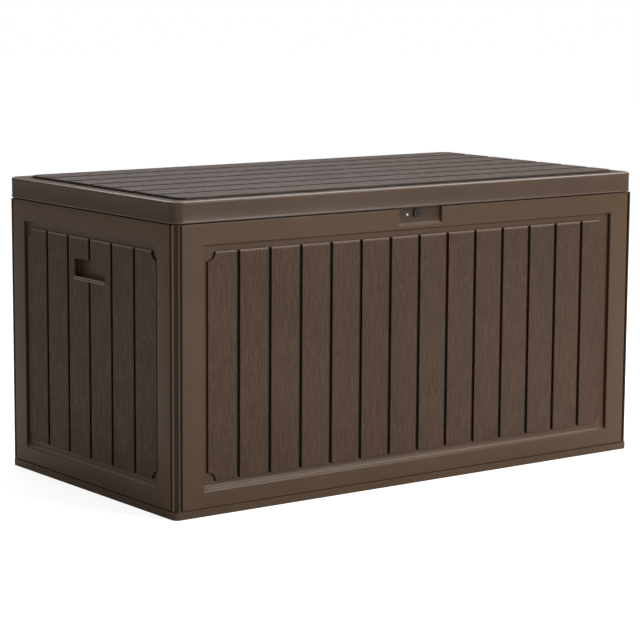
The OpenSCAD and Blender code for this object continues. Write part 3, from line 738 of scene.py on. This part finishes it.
class DECKBOX_OT_walls(bpy.types.Operator):
    """Build the four slatted walls"""

    bl_idname = "deck_box.walls"
    bl_label = "Walls"

    def execute(self, context):
        faces = (
            ("front", True, True, False, stand_front),
            ("back", True, False, False, stand_back),
            ("left", False, False, True, stand_left),
            ("right", False, False, True, stand_right),
        )
        frame_resin = resin_material("Body resin", colours().body)
        slat_resin = grained_material("Slat resin", colours().slats, "z")
        for seed, (side, long_wall, pocket, hold, stand) in enumerate(faces):
            plan = wall_plan(long_wall)
            part, shade, painted_highlight = wall_frame(plan, stand, pocket, hold)
            nodes = (f"{side}_panel",) + (FRONT_RAIL_NODES if pocket else ())
            new_piece(f"{side}_wall", part, frame_resin, "box",
                      nodes=nodes, sharp=50, shade=shade, painted_highlight=painted_highlight)
            slats, shades, painted_highlights = zip(*(
                wall_slat(plan, stand, number, hold, 100 * seed + 7 * number)
                for number in range(plan.count)))
            new_piece(f"{side}_slats", join_parts(slats), slat_resin, "box",
                      nodes=(f"{side}_panel",), sharp=50, shade=np.concatenate(shades),
                      painted_highlight=np.concatenate(painted_highlights))
            if hold:
                lip = grip_lip(stand)
                # the beads carry a painted highlight along their whole length
                new_piece(f"hold_lip_{side}", lip, frame_resin, "box",
                          painted_highlight=np.full(len(lip[0]), 0.9))
        return {"FINISHED"}


# ---- posts, tray and cups -----------------------------------------------------------


def arc(cx, cy, radius, first, last, steps):
    """Points along a circle's arc, angles in degrees."""
    angle = np.radians(np.linspace(first, last, steps))
    return np.stack([cx + radius * np.cos(angle), cy + radius * np.sin(angle)], -1)


def post_flanges():
    """Plan of a post's two flanges behind the walls' ends."""
    near, thick, far = WALL_THICK, WALL_THICK + FLANGE, WALL_THICK + FLANGE_REACH
    return [(near, POST_LEG), (near, far), (thick, far), (thick, thick), (far, thick),
            (far, near), (POST_LEG, near)]


def post_outline():
    """Plan of a corner post in millimetres, its corner at the origin and the body towards
    +X +Y: a sunk round column, two fins with round tips, and the two inner flanges."""
    leg, column, half = POST_LEG, COLUMN_RADIUS, FIN_THICK / 2
    outer = math.degrees(math.acos((leg - FIN_MIDDLE - half) / column))
    inner = math.degrees(math.acos((leg - FIN_MIDDLE + half) / column))
    first = np.concatenate([
        arc(leg, leg, column, 270, 180 + outer, COLUMN_POINTS[0]),
        arc(FIN_MIDDLE, half, half, 0, -180, TIP_POINTS),
        arc(leg, leg, column, 180 + inner, 225, COLUMN_POINTS[1]),
    ])
    return np.concatenate([first, first[::-1][1:, ::-1], post_flanges()])


def post_marks(column, tip):
    """One value per point of the post's outline: column along the sunk column's arcs, tip
    round the fins' tips and 0 along the flanges."""
    first = np.repeat((column, tip, column), (COLUMN_POINTS[0], TIP_POINTS, COLUMN_POINTS[1]))
    return np.concatenate([first, first[::-1][1:], np.zeros(len(post_flanges()))])


def post_rim_outline():
    """Plan of a post's rim above the walls: a small round corner and the flanges."""
    corner = arc(POST_LEG, POST_LEG, RIM_RADIUS, 270, 180, TIP_POINTS)
    return np.concatenate([corner, post_flanges()])


class DECKBOX_OT_posts(bpy.types.Operator):
    """Build the four corner posts"""

    bl_idname = "deck_box.posts"
    bl_label = "Corner posts"

    def execute(self, context):
        resin = resin_material("Body resin", colours().body)
        corners = (
            ("front_left", -1, -1, 0), ("front_right", 1, -1, 1),
            ("back_right", 1, 1, 2), ("back_left", -1, 1, 3),
        )
        parts = ((post_outline(), PANEL_FOOT, walls().top_edge),
                 (post_rim_outline(), walls().top_edge - 0.2 * MM, RIM_TOP))
        for name, sx, sy, turns in corners:
            solids = []
            for outline, low, high in parts:
                plan = outline[::-1] * MM
                angle = turns * math.pi / 2
                c, s = math.cos(angle), math.sin(angle)
                x = plan[:, 0] * c - plan[:, 1] * s + sx * BODY_HALF_LENGTH
                y = plan[:, 0] * s + plan[:, 1] * c + sy * BODY_HALF_DEPTH
                rings = [np.stack([x, y, np.full_like(x, level)], -1) for level in (low, high)]
                solids.append(ring_solid(rings))
            # painted shade on the sunk column and a faint painted highlight on the fins' tips;
            # none on the rim
            rim_points = np.zeros(len(solids[1][0]))
            shade, painted_highlight = (np.concatenate([np.tile(post_marks(*pair)[::-1], 2), rim_points])
                           for pair in ((0.45, 0.0), (0.0, 0.12)))
            new_piece(f"post_{name}_column", join_parts(solids), resin, "box",
                      nodes=(f"post_{name}",), sharp=40, shade=shade, painted_highlight=painted_highlight)
        return {"FINISHED"}


class DECKBOX_OT_tray(bpy.types.Operator):
    """Build the base tray and the cups behind the hand holds"""

    bl_idname = "deck_box.tray"
    bl_label = "Tray and cups"

    def execute(self, context):
        resin = resin_material("Body resin", colours().body)
        softened_copy("tray", "base_tray", 0.8 * MM, resin, "box")
        for side in ("left", "right"):
            softened_copy(f"cup_{side}", f"hand_cup_{side}", 0.7 * MM, resin, "box")
        return {"FINISHED"}


# ---- lid ----------------------------------------------------------------------------


def round_ring(inset, z):
    """The lid's plan drawn in by inset: four straight sides joined by corner arcs."""
    s = lid_sizes()
    r = max(s.corner - inset, 0.2 * MM)
    x0, x1 = LID_LOW.x + inset, LID_HIGH.x - inset
    y0, y1 = LID_LOW.y + inset, LID_HIGH.y - inset
    centres = ((x1 - r, y0 + r, -90), (x1 - r, y1 - r, 0), (x0 + r, y1 - r, 90),
               (x0 + r, y0 + r, 180))
    plan = np.concatenate([arc(cx, cy, r, a, a + 90, ARC_STEPS + 1) for cx, cy, a in centres])
    return np.column_stack([plan, np.full(len(plan), z)])


def deck_ring(grow, z):
    """The plank field's plan grown by that much: a rectangle with chamfered corners, with
    the chamfers' points one to one with the lid's corner arcs."""
    s = lid_sizes()
    x1 = LID_HIGH.x - s.rim_side + grow
    x0 = -x1
    y0 = LID_LOW.y + s.rim_width - grow
    y1 = LID_HIGH.y - s.rim_width - s.rim_extra + grow
    c = s.chamfer
    ends = (((x1 - c, y0), (x1, y0 + c)), ((x1, y1 - c), (x1 - c, y1)),
            ((x0 + c, y1), (x0, y1 - c)), ((x0, y0 + c), (x0 + c, y0)))
    plan = np.concatenate([np.linspace(a, b, ARC_STEPS + 1) for a, b in ends])
    return np.column_stack([plan, np.full(len(plan), z)])


def lid_plank(number, seed):
    """One plank as a closed solid with grain along it, and its painted shade.

    The first and last planks' ends follow the field's chamfers. The top drops by the
    quarter round at its distance from the outline, and the painted shade rises towards
    the grooves between two planks.
    """
    s = lid_sizes()
    x1 = LID_HIGH.x - s.rim_side
    y0 = LID_LOW.y + s.rim_width
    y1 = LID_HIGH.y - s.rim_width - s.rim_extra
    pitch = (y1 - y0 + s.groove) / s.planks
    low = y0 + number * pitch
    high = low + pitch - s.groove
    fine = 0.45 * MM
    clusters_u = [(-x1, -x1 + 2 * MM, fine), (x1 - 2 * MM, x1, fine)]
    clusters_y = [(low, low + 2 * MM, fine), (high - 2 * MM, high, fine)]
    must_y = [low, high]
    if number in (0, s.planks - 1):
        must_y.append(y0 + s.chamfer if number == 0 else y1 - s.chamfer)
    us = grid_lines([-x1, x1], -x1, x1, 7 * MM, clusters_u)
    ys = grid_lines(must_y, low, high, 2.2 * MM, clusters_y)
    u, y = np.meshgrid(us, ys)
    short = np.maximum(s.chamfer - np.minimum(y - y0, y1 - y), 0)
    x = u * (x1 - short) / x1
    slant = (np.minimum(y - y0, y1 - y) + (x1 - np.abs(x)) - s.chamfer) / math.sqrt(2)
    inside = np.minimum(np.minimum(x1 - np.abs(x), slant), np.minimum(y - low, high - y))
    inside = np.maximum(inside, 0)
    fade = np.clip(inside / (4 * MM), 0, 1)
    grain = wood_relief(y, x, seed) * s.relief * fade
    top = LID_HIGH.z - round_drop(inside, s.plank_round) - s.relief * fade + grain
    foot = np.full_like(top, LID_HIGH.z - s.rise - s.ring_depth + 0.3 * MM)
    keep = np.ones((len(ys) - 1, len(us) - 1), bool)
    # painted shade on the plank's edges that face the grooves, and over its underside
    inner_low = np.inf if number == 0 else y - low
    inner_high = np.inf if number == s.planks - 1 else high - y
    shade = np.clip(1.6 - np.minimum(inner_low, inner_high) / (1.0 * MM), 0, 1)
    part = sheet_solid(np.stack([x, y, top], -1), np.stack([x, y, foot], -1), keep)
    shade = np.broadcast_to(shade, x.shape)
    return part, np.concatenate([shade.ravel(), np.ones(x.size)])


class DECKBOX_OT_lid(bpy.types.Operator):
    """Build the lid's shell and its planks"""

    bl_idname = "deck_box.lid"
    bl_label = "Lid"

    def execute(self, context):
        s = lid_sizes()
        rim = LID_HIGH.z - s.rise
        floor = LID_HIGH.z - s.groove_depth
        ring_floor = rim - s.ring_depth
        low = LID_LOW.z
        inside = [
            round_ring(s.edge + s.wall, rim - s.wall),
            round_ring(s.wall + 1 * MM, rim - s.wall - 1.5 * MM),
            round_ring(s.wall, rim - s.edge),
            round_ring(s.wall, low + 0.8 * MM),
            round_ring(s.wall - 0.8 * MM, low),
            round_ring(1.3 * MM, low),
        ]
        bead = [round_ring(inset * MM, low + up * MM) for inset, up in (
            (0.5, 0.3), (0.1, 1.0), (0, 1.9), (0.1, 3.0), (0.6, 3.9), (0.9, 5.0))]
        # painted highlight along the middle of the lower bead
        bead_painted_highlight = (0, 0, 0.5, 0, 0, 0)
        skirt = [round_ring(inset * MM, rim - s.edge + up * MM) for inset, up in (
            (0.9, -4), (0.6, -1), (0.45, 0.5))]
        # painted highlight along the lid's rounded upper edge
        edge_painted_highlight = (0, 0.1, 0.4, 0.8, 1.0, 0.8, 0.4, 0.1)
        edge = []
        for step in range(1, len(edge_painted_highlight) + 1):
            angle = math.pi / 2 * (0.12 + 0.88 * step / len(edge_painted_highlight))
            edge.append(round_ring(s.edge * (1 - math.cos(angle)),
                                   rim - s.edge + s.edge * math.sin(angle)))
        top = [
            round_ring(s.edge + 2 * MM, rim),
            deck_ring(s.ring + 1.2 * MM, rim),
            deck_ring(s.ring + 0.35 * MM, rim - 0.3 * MM),
            deck_ring(s.ring, rim - 1.1 * MM),
            deck_ring(s.ring, ring_floor),
            deck_ring(-1 * MM, ring_floor),
            deck_ring(-1.1 * MM, floor),
        ]
        # painted shade down into the ring groove round the planks
        groove_shade = (0.1, 0.35, 0.6, 1.0)
        rings = inside + bead + skirt + edge + top
        # painted shade over the lid's inside and underside
        shade = np.zeros(len(rings))
        shade[:len(inside)] = 1.0
        shade[-len(groove_shade):] = groove_shade
        painted_highlight = np.concatenate([np.zeros(len(inside)), bead_painted_highlight, np.zeros(len(skirt)),
                               edge_painted_highlight, np.zeros(len(top))])
        resin = resin_material("Lid resin", colours().lid)
        new_piece("lid_skin", ring_solid(rings), resin, "lid",
                  nodes=("lid_shell",), sharp=50, shade=np.repeat(shade, len(rings[0])),
                  painted_highlight=np.repeat(painted_highlight, len(rings[0])))
        planks = [lid_plank(number, 900 + 11 * number) for number in range(s.planks)]
        grained = grained_material("Plank resin", colours().planks, "x")
        new_piece("lid_planks", join_parts([part for part, _ in planks]), grained, "lid",
                  nodes=("lid_shell",), sharp=50,
                  shade=np.concatenate([shade for _, shade in planks]))
        return {"FINISHED"}


# ---- fittings -----------------------------------------------------------------------


class DECKBOX_OT_fittings(bpy.types.Operator):
    """Give the hinges, screws, lock, liner and tubes their finishes"""

    bl_idname = "deck_box.fittings"
    bl_label = "Fittings"

    def execute(self, context):
        c = colours()
        coat = coat_material("Powder coat", c.coat)
        zinc = metal_material("Zinc plate", c.zinc)
        black = gloss_material("Lock black", c.lock)
        white = gloss_material("Marker white", c.marker)
        inner = resin_material("Inner resin", c.inner)
        finishes = {
            "hinge_pin_left": zinc, "hinge_pin_right": zinc, "hinge_body_screws": zinc,
            "hinge_lid_screws": zinc, "liner_screws": zinc, "keeper_rivets": zinc,
            "lock_nut": zinc, "lock_cam": zinc, "cam_screw": zinc, "lid_tubes": zinc,
            "lid_liner": inner, "lock_marker": white, "lid_keeper": zinc,
        }
        for node, material in finishes.items():
            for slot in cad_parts[node].material_slots:
                slot.material = material
        for side in ("left", "right"):
            softened_copy(f"hinge_lower_{side}", f"hinge_body_leaf_{side}", 0.4 * MM, coat,
                          "box")
            softened_copy(f"hinge_upper_{side}", f"hinge_lid_leaf_{side}", 0.4 * MM, coat,
                          "lid")
        softened_copy("lock_face", "lock_barrel", 0.6 * MM, black, "box")
        softened_copy("lock_core", "lock_plug", 0.25 * MM, black, "lock")
        return {"FINISHED"}


# ---- materials ----------------------------------------------------------------------


def feed(tree, value, socket):
    """Links an output to an input socket, or sets the socket to a plain value."""
    if hasattr(value, "is_output"):
        tree.links.new(value, socket)
    else:
        socket.default_value = value


def math_node(tree, operation, first, second):
    """The result of one operation on two sockets or values."""
    node = tree.nodes.new("ShaderNodeMath")
    node.operation = operation
    feed(tree, first, node.inputs[0])
    feed(tree, second, node.inputs[1])
    return node.outputs[0]


def mix_node(tree, kind, factor, first, second):
    """The first socket or value where the factor is 0 and the second where it is 1."""
    node = tree.nodes.new("ShaderNodeMix")
    node.data_type = kind
    for label, value in (("Factor", factor), ("A", first), ("B", second)):
        feed(tree, value, node.inputs[label])
    return node.outputs["Result"]


def attribute_mask(tree, name):
    """A point attribute's value."""
    node = tree.nodes.new("ShaderNodeAttribute")
    node.attribute_name = name
    return node.outputs["Fac"]


def noise_mask(tree, vector, scale, detail, rough=0.5):
    """Fractal noise from 0 to 1."""
    node = tree.nodes.new("ShaderNodeTexNoise")
    for label, value in (("Vector", vector), ("Scale", scale), ("Detail", detail),
                         ("Roughness", rough)):
        feed(tree, value, node.inputs[label])
    return node.outputs["Fac"]


def stretched(tree, vector, along):
    """The vector with its third axis shortened, which draws a noise out along the grain."""
    node = tree.nodes.new("ShaderNodeVectorMath")
    node.operation = "MULTIPLY"
    feed(tree, vector, node.inputs[0])
    node.inputs[1].default_value = (1.0, 1.0, along)
    return node.outputs[0]


def range_node(tree, value, low, high, new_low, new_high):
    """The value carried from one range to another and held within it."""
    node = tree.nodes.new("ShaderNodeMapRange")
    for label, number in (("Value", value), ("From Min", low), ("From Max", high),
                          ("To Min", new_low), ("To Max", new_high)):
        feed(tree, number, node.inputs[label])
    return node.outputs["Result"]


def new_group(name, sockets_in, sockets_out):
    """A shader node group with those inputs and outputs, and its two end nodes."""
    group = bpy.data.node_groups.new(name, "ShaderNodeTree")
    for label, kind, value in sockets_in:
        socket = group.interface.new_socket(label, in_out="INPUT", socket_type=kind)
        if value is not None:
            socket.default_value = value
    for label, kind in sockets_out:
        group.interface.new_socket(label, in_out="OUTPUT", socket_type=kind)
    return group, group.nodes.new("NodeGroupInput"), group.nodes.new("NodeGroupOutput")


def moulded_skin_group():
    """Moulded resin: a fine pebbled height, a slow colour tone and a roughness mask."""
    found = bpy.data.node_groups.get("Moulded skin")
    if found:
        return found
    group, source, sink = new_group(
        "Moulded skin",
        [("Vector", "NodeSocketVector", None), ("Pebble Scale", "NodeSocketFloat", 900.0),
         ("Tone Scale", "NodeSocketFloat", 3.0)],
        [("Height", "NodeSocketFloat"), ("Tone", "NodeSocketFloat"),
         ("Polish", "NodeSocketFloat")])
    vector = source.outputs["Vector"]
    pebble = noise_mask(group, vector, source.outputs["Pebble Scale"], 2.0, 0.55)
    tone = noise_mask(group, vector, source.outputs["Tone Scale"], 3.0)
    polish = noise_mask(group, vector, 14.0, 4.0, 0.6)
    feed(group, pebble, sink.inputs["Height"])
    feed(group, range_node(group, tone, 0.35, 0.65, 0.0, 1.0), sink.inputs["Tone"])
    feed(group, range_node(group, polish, 0.3, 0.7, 0.0, 1.0), sink.inputs["Polish"])
    return group


def wood_grain_group():
    """Moulded wood grain: thin fibres, cathedral rings bent round knots, and their tone.

    The vector runs along the grain on its third axis. Fibres and short specks are noises
    stretched along it, and rings are bands of a slow stretched noise.
    """
    found = bpy.data.node_groups.get("Wood grain")
    if found:
        return found
    group, source, sink = new_group(
        "Wood grain",
        [("Vector", "NodeSocketVector", None), ("Fibre Scale", "NodeSocketFloat", 420.0),
         ("Ring Scale", "NodeSocketFloat", 42.0)],
        [("Height", "NodeSocketFloat"), ("Tone", "NodeSocketFloat")])
    vector = source.outputs["Vector"]
    fibre = noise_mask(group, stretched(group, vector, 0.045),
                       source.outputs["Fibre Scale"], 3.0, 0.6)
    sweep = noise_mask(group, stretched(group, vector, 0.16),
                       source.outputs["Ring Scale"], 2.0)
    saw = math_node(group, "PINGPONG", math_node(group, "MULTIPLY", sweep, 16.0), 1.0)
    ring = math_node(group, "POWER", saw, 2.0)
    speck = range_node(group, noise_mask(group, stretched(group, vector, 0.3), 480.0, 2.0, 0.6),
                       0.5, 0.72, 0.0, 1.0)
    height = math_node(group, "ADD", math_node(group, "MULTIPLY", fibre, 0.6),
                       math_node(group, "MULTIPLY", ring, 0.35))
    height = math_node(group, "ADD", height, math_node(group, "MULTIPLY", speck, 0.5))
    tone = math_node(group, "ADD", math_node(group, "MULTIPLY", fibre, 0.7),
                     math_node(group, "MULTIPLY", ring, 0.3))
    feed(group, height, sink.inputs["Height"])
    feed(group, range_node(group, tone, 0.25, 0.75, 0.0, 1.0), sink.inputs["Tone"])
    return group


def place_group(tree, group, vector):
    """A node that holds the group, fed with the vector."""
    node = tree.nodes.new("ShaderNodeGroup")
    node.node_tree = group
    feed(tree, vector, node.inputs["Vector"])
    return node


def start_material(name):
    """A new material, its tree and shader, and the Object coordinates."""
    material = bpy.data.materials.new(name)
    material.use_nodes = True
    tree = material.node_tree
    shader = tree.nodes["Principled BSDF"]
    coordinates = tree.nodes.new("ShaderNodeTexCoord").outputs["Object"]
    return material, tree, shader, coordinates


def share_of(colour, share, plus=0.0):
    """A colour times a share, plus a paleness, with full alpha."""
    return (*[v * share + plus for v in colour], 1)


def toned_colour(tree, tone, colour, dark, light):
    """Base colour between a darker and a lighter share of the same colour."""
    return mix_node(tree, "RGBA", tone, share_of(colour, dark), share_of(colour, light))


def painted_groove_shade(tree, source, colour, share):
    """Painted shade: the colour darkened to a share of itself where the shade attribute is set, in
    grooves and hollows.
    """
    return mix_node(tree, "RGBA", attribute_mask(tree, "shade"), source,
                    share_of(colour, share))


def polish_and_painted_highlight(tree, source, colour, roughness, shader, gain=2.0, pale=0.13,
                   smooth=0.18):
    """Feeds the shader a colour raised, a painted highlight, and a roughness lowered where
    the attribute for painted highlights is set."""
    edge = attribute_mask(tree, "painted_highlight")
    feed(tree, mix_node(tree, "RGBA", edge, source, share_of(colour, gain, pale)),
         shader.inputs["Base Color"])
    feed(tree, mix_node(tree, "FLOAT", edge, roughness, smooth), shader.inputs["Roughness"])


def bump(tree, height, distance, shader, strength=1.0):
    """Feeds the shader a normal bumped by a height, over a distance in metres."""
    node = tree.nodes.new("ShaderNodeBump")
    node.inputs["Strength"].default_value = strength
    node.inputs["Distance"].default_value = distance
    feed(tree, height, node.inputs["Height"])
    feed(tree, node.outputs["Normal"], shader.inputs["Normal"])


def resin_material(name, colour):
    """Smooth moulded resin: satin, finely pebbled, with a slow change of tone."""
    found = bpy.data.materials.get(name)
    if found:
        return found
    material, tree, shader, coordinates = start_material(name)
    skin = place_group(tree, moulded_skin_group(), coordinates)
    toned = toned_colour(tree, skin.outputs["Tone"], colour, 0.93, 1.07)
    # painted shade darkens grooves to 0.16 of the colour, and painted highlights lighten edges
    polish_and_painted_highlight(tree, painted_groove_shade(tree, toned, colour, 0.16), colour,
                   range_node(tree, skin.outputs["Polish"], 0, 1, 0.28, 0.38), shader)
    bump(tree, skin.outputs["Height"], 0.00006, shader, 0.6)
    shader.inputs["Specular IOR Level"].default_value = 0.35
    return material


def grained_material(name, colour, along):
    """Moulded wood grain running along x or z, over the same resin."""
    found = bpy.data.materials.get(name)
    if found:
        return found
    material, tree, shader, coordinates = start_material(name)
    mapping = tree.nodes.new("ShaderNodeMapping")
    if along == "x":
        mapping.inputs["Rotation"].default_value = (0, math.pi / 2, 0)
    feed(tree, coordinates, mapping.inputs["Vector"])
    grain = place_group(tree, wood_grain_group(), mapping.outputs["Vector"])
    skin = place_group(tree, moulded_skin_group(), coordinates)
    tone = math_node(tree, "ADD", math_node(tree, "MULTIPLY", grain.outputs["Tone"], 0.75),
                     math_node(tree, "MULTIPLY", skin.outputs["Tone"], 0.25))
    toned = toned_colour(tree, tone, colour, 0.72, 1.28)
    # painted shade darkens grooves to 0.08 of the colour, and painted highlights lighten edges
    polish_and_painted_highlight(tree, painted_groove_shade(tree, toned, colour, 0.08), colour,
                   range_node(tree, grain.outputs["Tone"], 0, 1, 0.56, 0.34), shader)
    bump(tree, grain.outputs["Height"], 0.0013, shader, 1.0)
    shader.inputs["Specular IOR Level"].default_value = 0.3
    return material


def skin_finish(name, colour, tones, roughness, pebble=900.0, patches=3.0, relief=None):
    """A finish over the moulded skin: its colour between two shares of itself, its
    roughness between two values, and the skin's bump where a relief is given."""
    material, tree, shader, coordinates = start_material(name)
    skin = place_group(tree, moulded_skin_group(), coordinates)
    skin.inputs["Pebble Scale"].default_value = pebble
    skin.inputs["Tone Scale"].default_value = patches
    feed(tree, toned_colour(tree, skin.outputs["Tone"], colour, *tones),
         shader.inputs["Base Color"])
    feed(tree, range_node(tree, skin.outputs["Polish"], 0, 1, *roughness),
         shader.inputs["Roughness"])
    if relief:
        bump(tree, skin.outputs["Height"], relief, shader)
    return material, shader


def coat_material(name, colour):
    """Powder coat: a fine orange-peel bump over black."""
    return skin_finish(name, colour, (0.85, 1.2), (0.34, 0.46), pebble=600,
                       relief=0.0001)[0]


def metal_material(name, colour):
    """Zinc plate: metallic, with small patches of tone."""
    material, shader = skin_finish(name, colour, (0.85, 1.1), (0.24, 0.38), pebble=500,
                                   patches=60, relief=0.00004)
    shader.inputs["Metallic"].default_value = 1.0
    return material


def gloss_material(name, colour):
    """Smooth moulded plastic with a thin clear coat."""
    material, shader = skin_finish(name, colour, (0.9, 1.05), (0.22, 0.32))
    shader.inputs["Coat Weight"].default_value = 0.3
    return material


# ---- stage --------------------------------------------------------------------------


def area_light(name, place, target, width, power):
    """A square soft light that looks at a point."""
    data = bpy.data.lights.new(name, "AREA")
    data.shape = "SQUARE"
    data.size = width
    data.energy = power
    light = bpy.data.objects.new(name, data)
    bpy.context.scene.collection.objects.link(light)
    light.location = place
    light.rotation_euler = (Vector(target) - Vector(place)).to_track_quat("-Z", "Y").to_euler()
    return light


def lay_floor(colour):
    """A wide pale floor that glows to the camera alone, so that it fades into the sky."""
    reach = 200.0
    mesh = bpy.data.meshes.new("floor")
    mesh.from_pydata([(-reach, -reach, 0), (reach, -reach, 0), (reach, reach, 0),
                      (-reach, reach, 0)], [], [(0, 1, 2, 3)])
    ground = bpy.data.objects.new("floor", mesh)
    bpy.context.scene.collection.objects.link(ground)
    material, tree, shader, _ = start_material("Pale floor")
    shader.inputs["Base Color"].default_value = (*colour, 1)
    shader.inputs["Roughness"].default_value = 0.9
    shader.inputs["Specular IOR Level"].default_value = 0.1
    seen = tree.nodes.new("ShaderNodeLightPath").outputs["Is Camera Ray"]
    shader.inputs["Emission Color"].default_value = (1, 1, 1, 1)
    feed(tree, math_node(tree, "MULTIPLY", seen, 0.8), shader.inputs["Emission Strength"])
    mesh.materials.append(material)


def light_scene(s):
    """An even sky and four soft lights: key, top, rear and side."""
    world = bpy.data.worlds.new("Soft sky")
    bpy.context.scene.world = world
    world.use_nodes = True
    sky = world.node_tree.nodes["Background"]
    sky.inputs["Color"].default_value = (1, 1, 1, 1)
    sky.inputs["Strength"].default_value = s.sky
    middle, lid_top = (0, 0, 0.3), (0, 0, 0.6)
    area_light("key light", (2.2, -4.6, 2.6), middle, 2.6, s.key)
    area_light("top light", (1.6, 0.1, 3.1), lid_top, 2.6, s.top)
    rear = area_light("rear light", (0.9, 3.0, 3.0), lid_top, 3.4, s.rear)
    rear.data.shape = "RECTANGLE"
    rear.data.size_y = 1.0
    area_light("side light", (-3.6, -0.4, 2.6), middle, 2.0, s.side)


def set_camera(lens):
    """The camera at its place, turned by azimuth and elevation and then rolled."""
    data = bpy.data.cameras.new("camera")
    data.lens = lens
    data.sensor_width = 36.0
    data.clip_end = 500.0
    camera = bpy.data.objects.new("camera", data)
    bpy.context.scene.collection.objects.link(camera)
    azimuth, elevation, roll = (math.radians(v) for v in CAMERA_TURN)
    forward = Vector((-math.sin(azimuth) * math.cos(elevation),
                      math.cos(azimuth) * math.cos(elevation), -math.sin(elevation)))
    right = Vector((math.cos(azimuth), math.sin(azimuth), 0))
    up = right.cross(forward)
    turned_right = right * math.cos(roll) + up * math.sin(roll)
    turned_up = up * math.cos(roll) - right * math.sin(roll)
    axes = Matrix((turned_right, turned_up, -forward)).transposed()
    camera.matrix_world = Matrix.Translation(CAMERA_PLACE) @ axes.to_4x4()
    bpy.context.scene.camera = camera


class DECKBOX_OT_stage(bpy.types.Operator):
    """Set out the floor, the soft lights and the camera"""

    bl_idname = "deck_box.stage"
    bl_label = "Stage"

    def execute(self, context):
        s = stage_settings()
        context.scene.view_settings.view_transform = "Standard"
        lay_floor(s.floor)
        light_scene(s)
        set_camera(s.lens)
        return {"FINISHED"}


class DECKBOX_PT_panel(bpy.types.Panel):
    """Deck box sizes, colours and pieces"""

    bl_idname = "DECKBOX_PT_panel"
    bl_label = "Deck Box"
    bl_space_type = "VIEW_3D"
    bl_region_type = "UI"
    bl_category = "Deck Box"

    def draw(self, context):
        layout = self.layout
        for name in SETTINGS:
            group = getattr(context.scene, name)
            column = layout.column(align=True)
            for prop in group.bl_rna.properties:
                if prop.identifier not in {"rna_type", "name"}:
                    column.prop(group, prop.identifier)
        for operator in OPERATORS:
            layout.operator(operator.bl_idname)


SETTINGS = {
    "deck_box_walls": WallSizes,
    "deck_box_openings": OpeningSizes,
    "deck_box_lid": LidSizes,
    "deck_box_colours": BoxColours,
    "deck_box_stage": StageSettings,
}
OPERATORS = (DECKBOX_OT_stage, DECKBOX_OT_walls, DECKBOX_OT_posts, DECKBOX_OT_tray,
             DECKBOX_OT_lid, DECKBOX_OT_fittings)
CLASSES = (*SETTINGS.values(), *OPERATORS, DECKBOX_PT_panel)


def register():
    """Adds the classes, and the settings to the scene."""
    for entry in CLASSES:
        bpy.utils.register_class(entry)
    for name, group in SETTINGS.items():
        setattr(bpy.types.Scene, name, PointerProperty(type=group))


def unregister():
    """Takes the settings and the classes away again."""
    for name in SETTINGS:
        delattr(bpy.types.Scene, name)
    for entry in reversed(CLASSES):
        bpy.utils.unregister_class(entry)


def main():
    """Builds the stage and every piece."""
    register()
    bpy.ops.deck_box.stage()
    bpy.ops.deck_box.walls()
    bpy.ops.deck_box.posts()
    bpy.ops.deck_box.tray()
    bpy.ops.deck_box.lid()
    bpy.ops.deck_box.fittings()


if __name__ == "__main__":
    main()
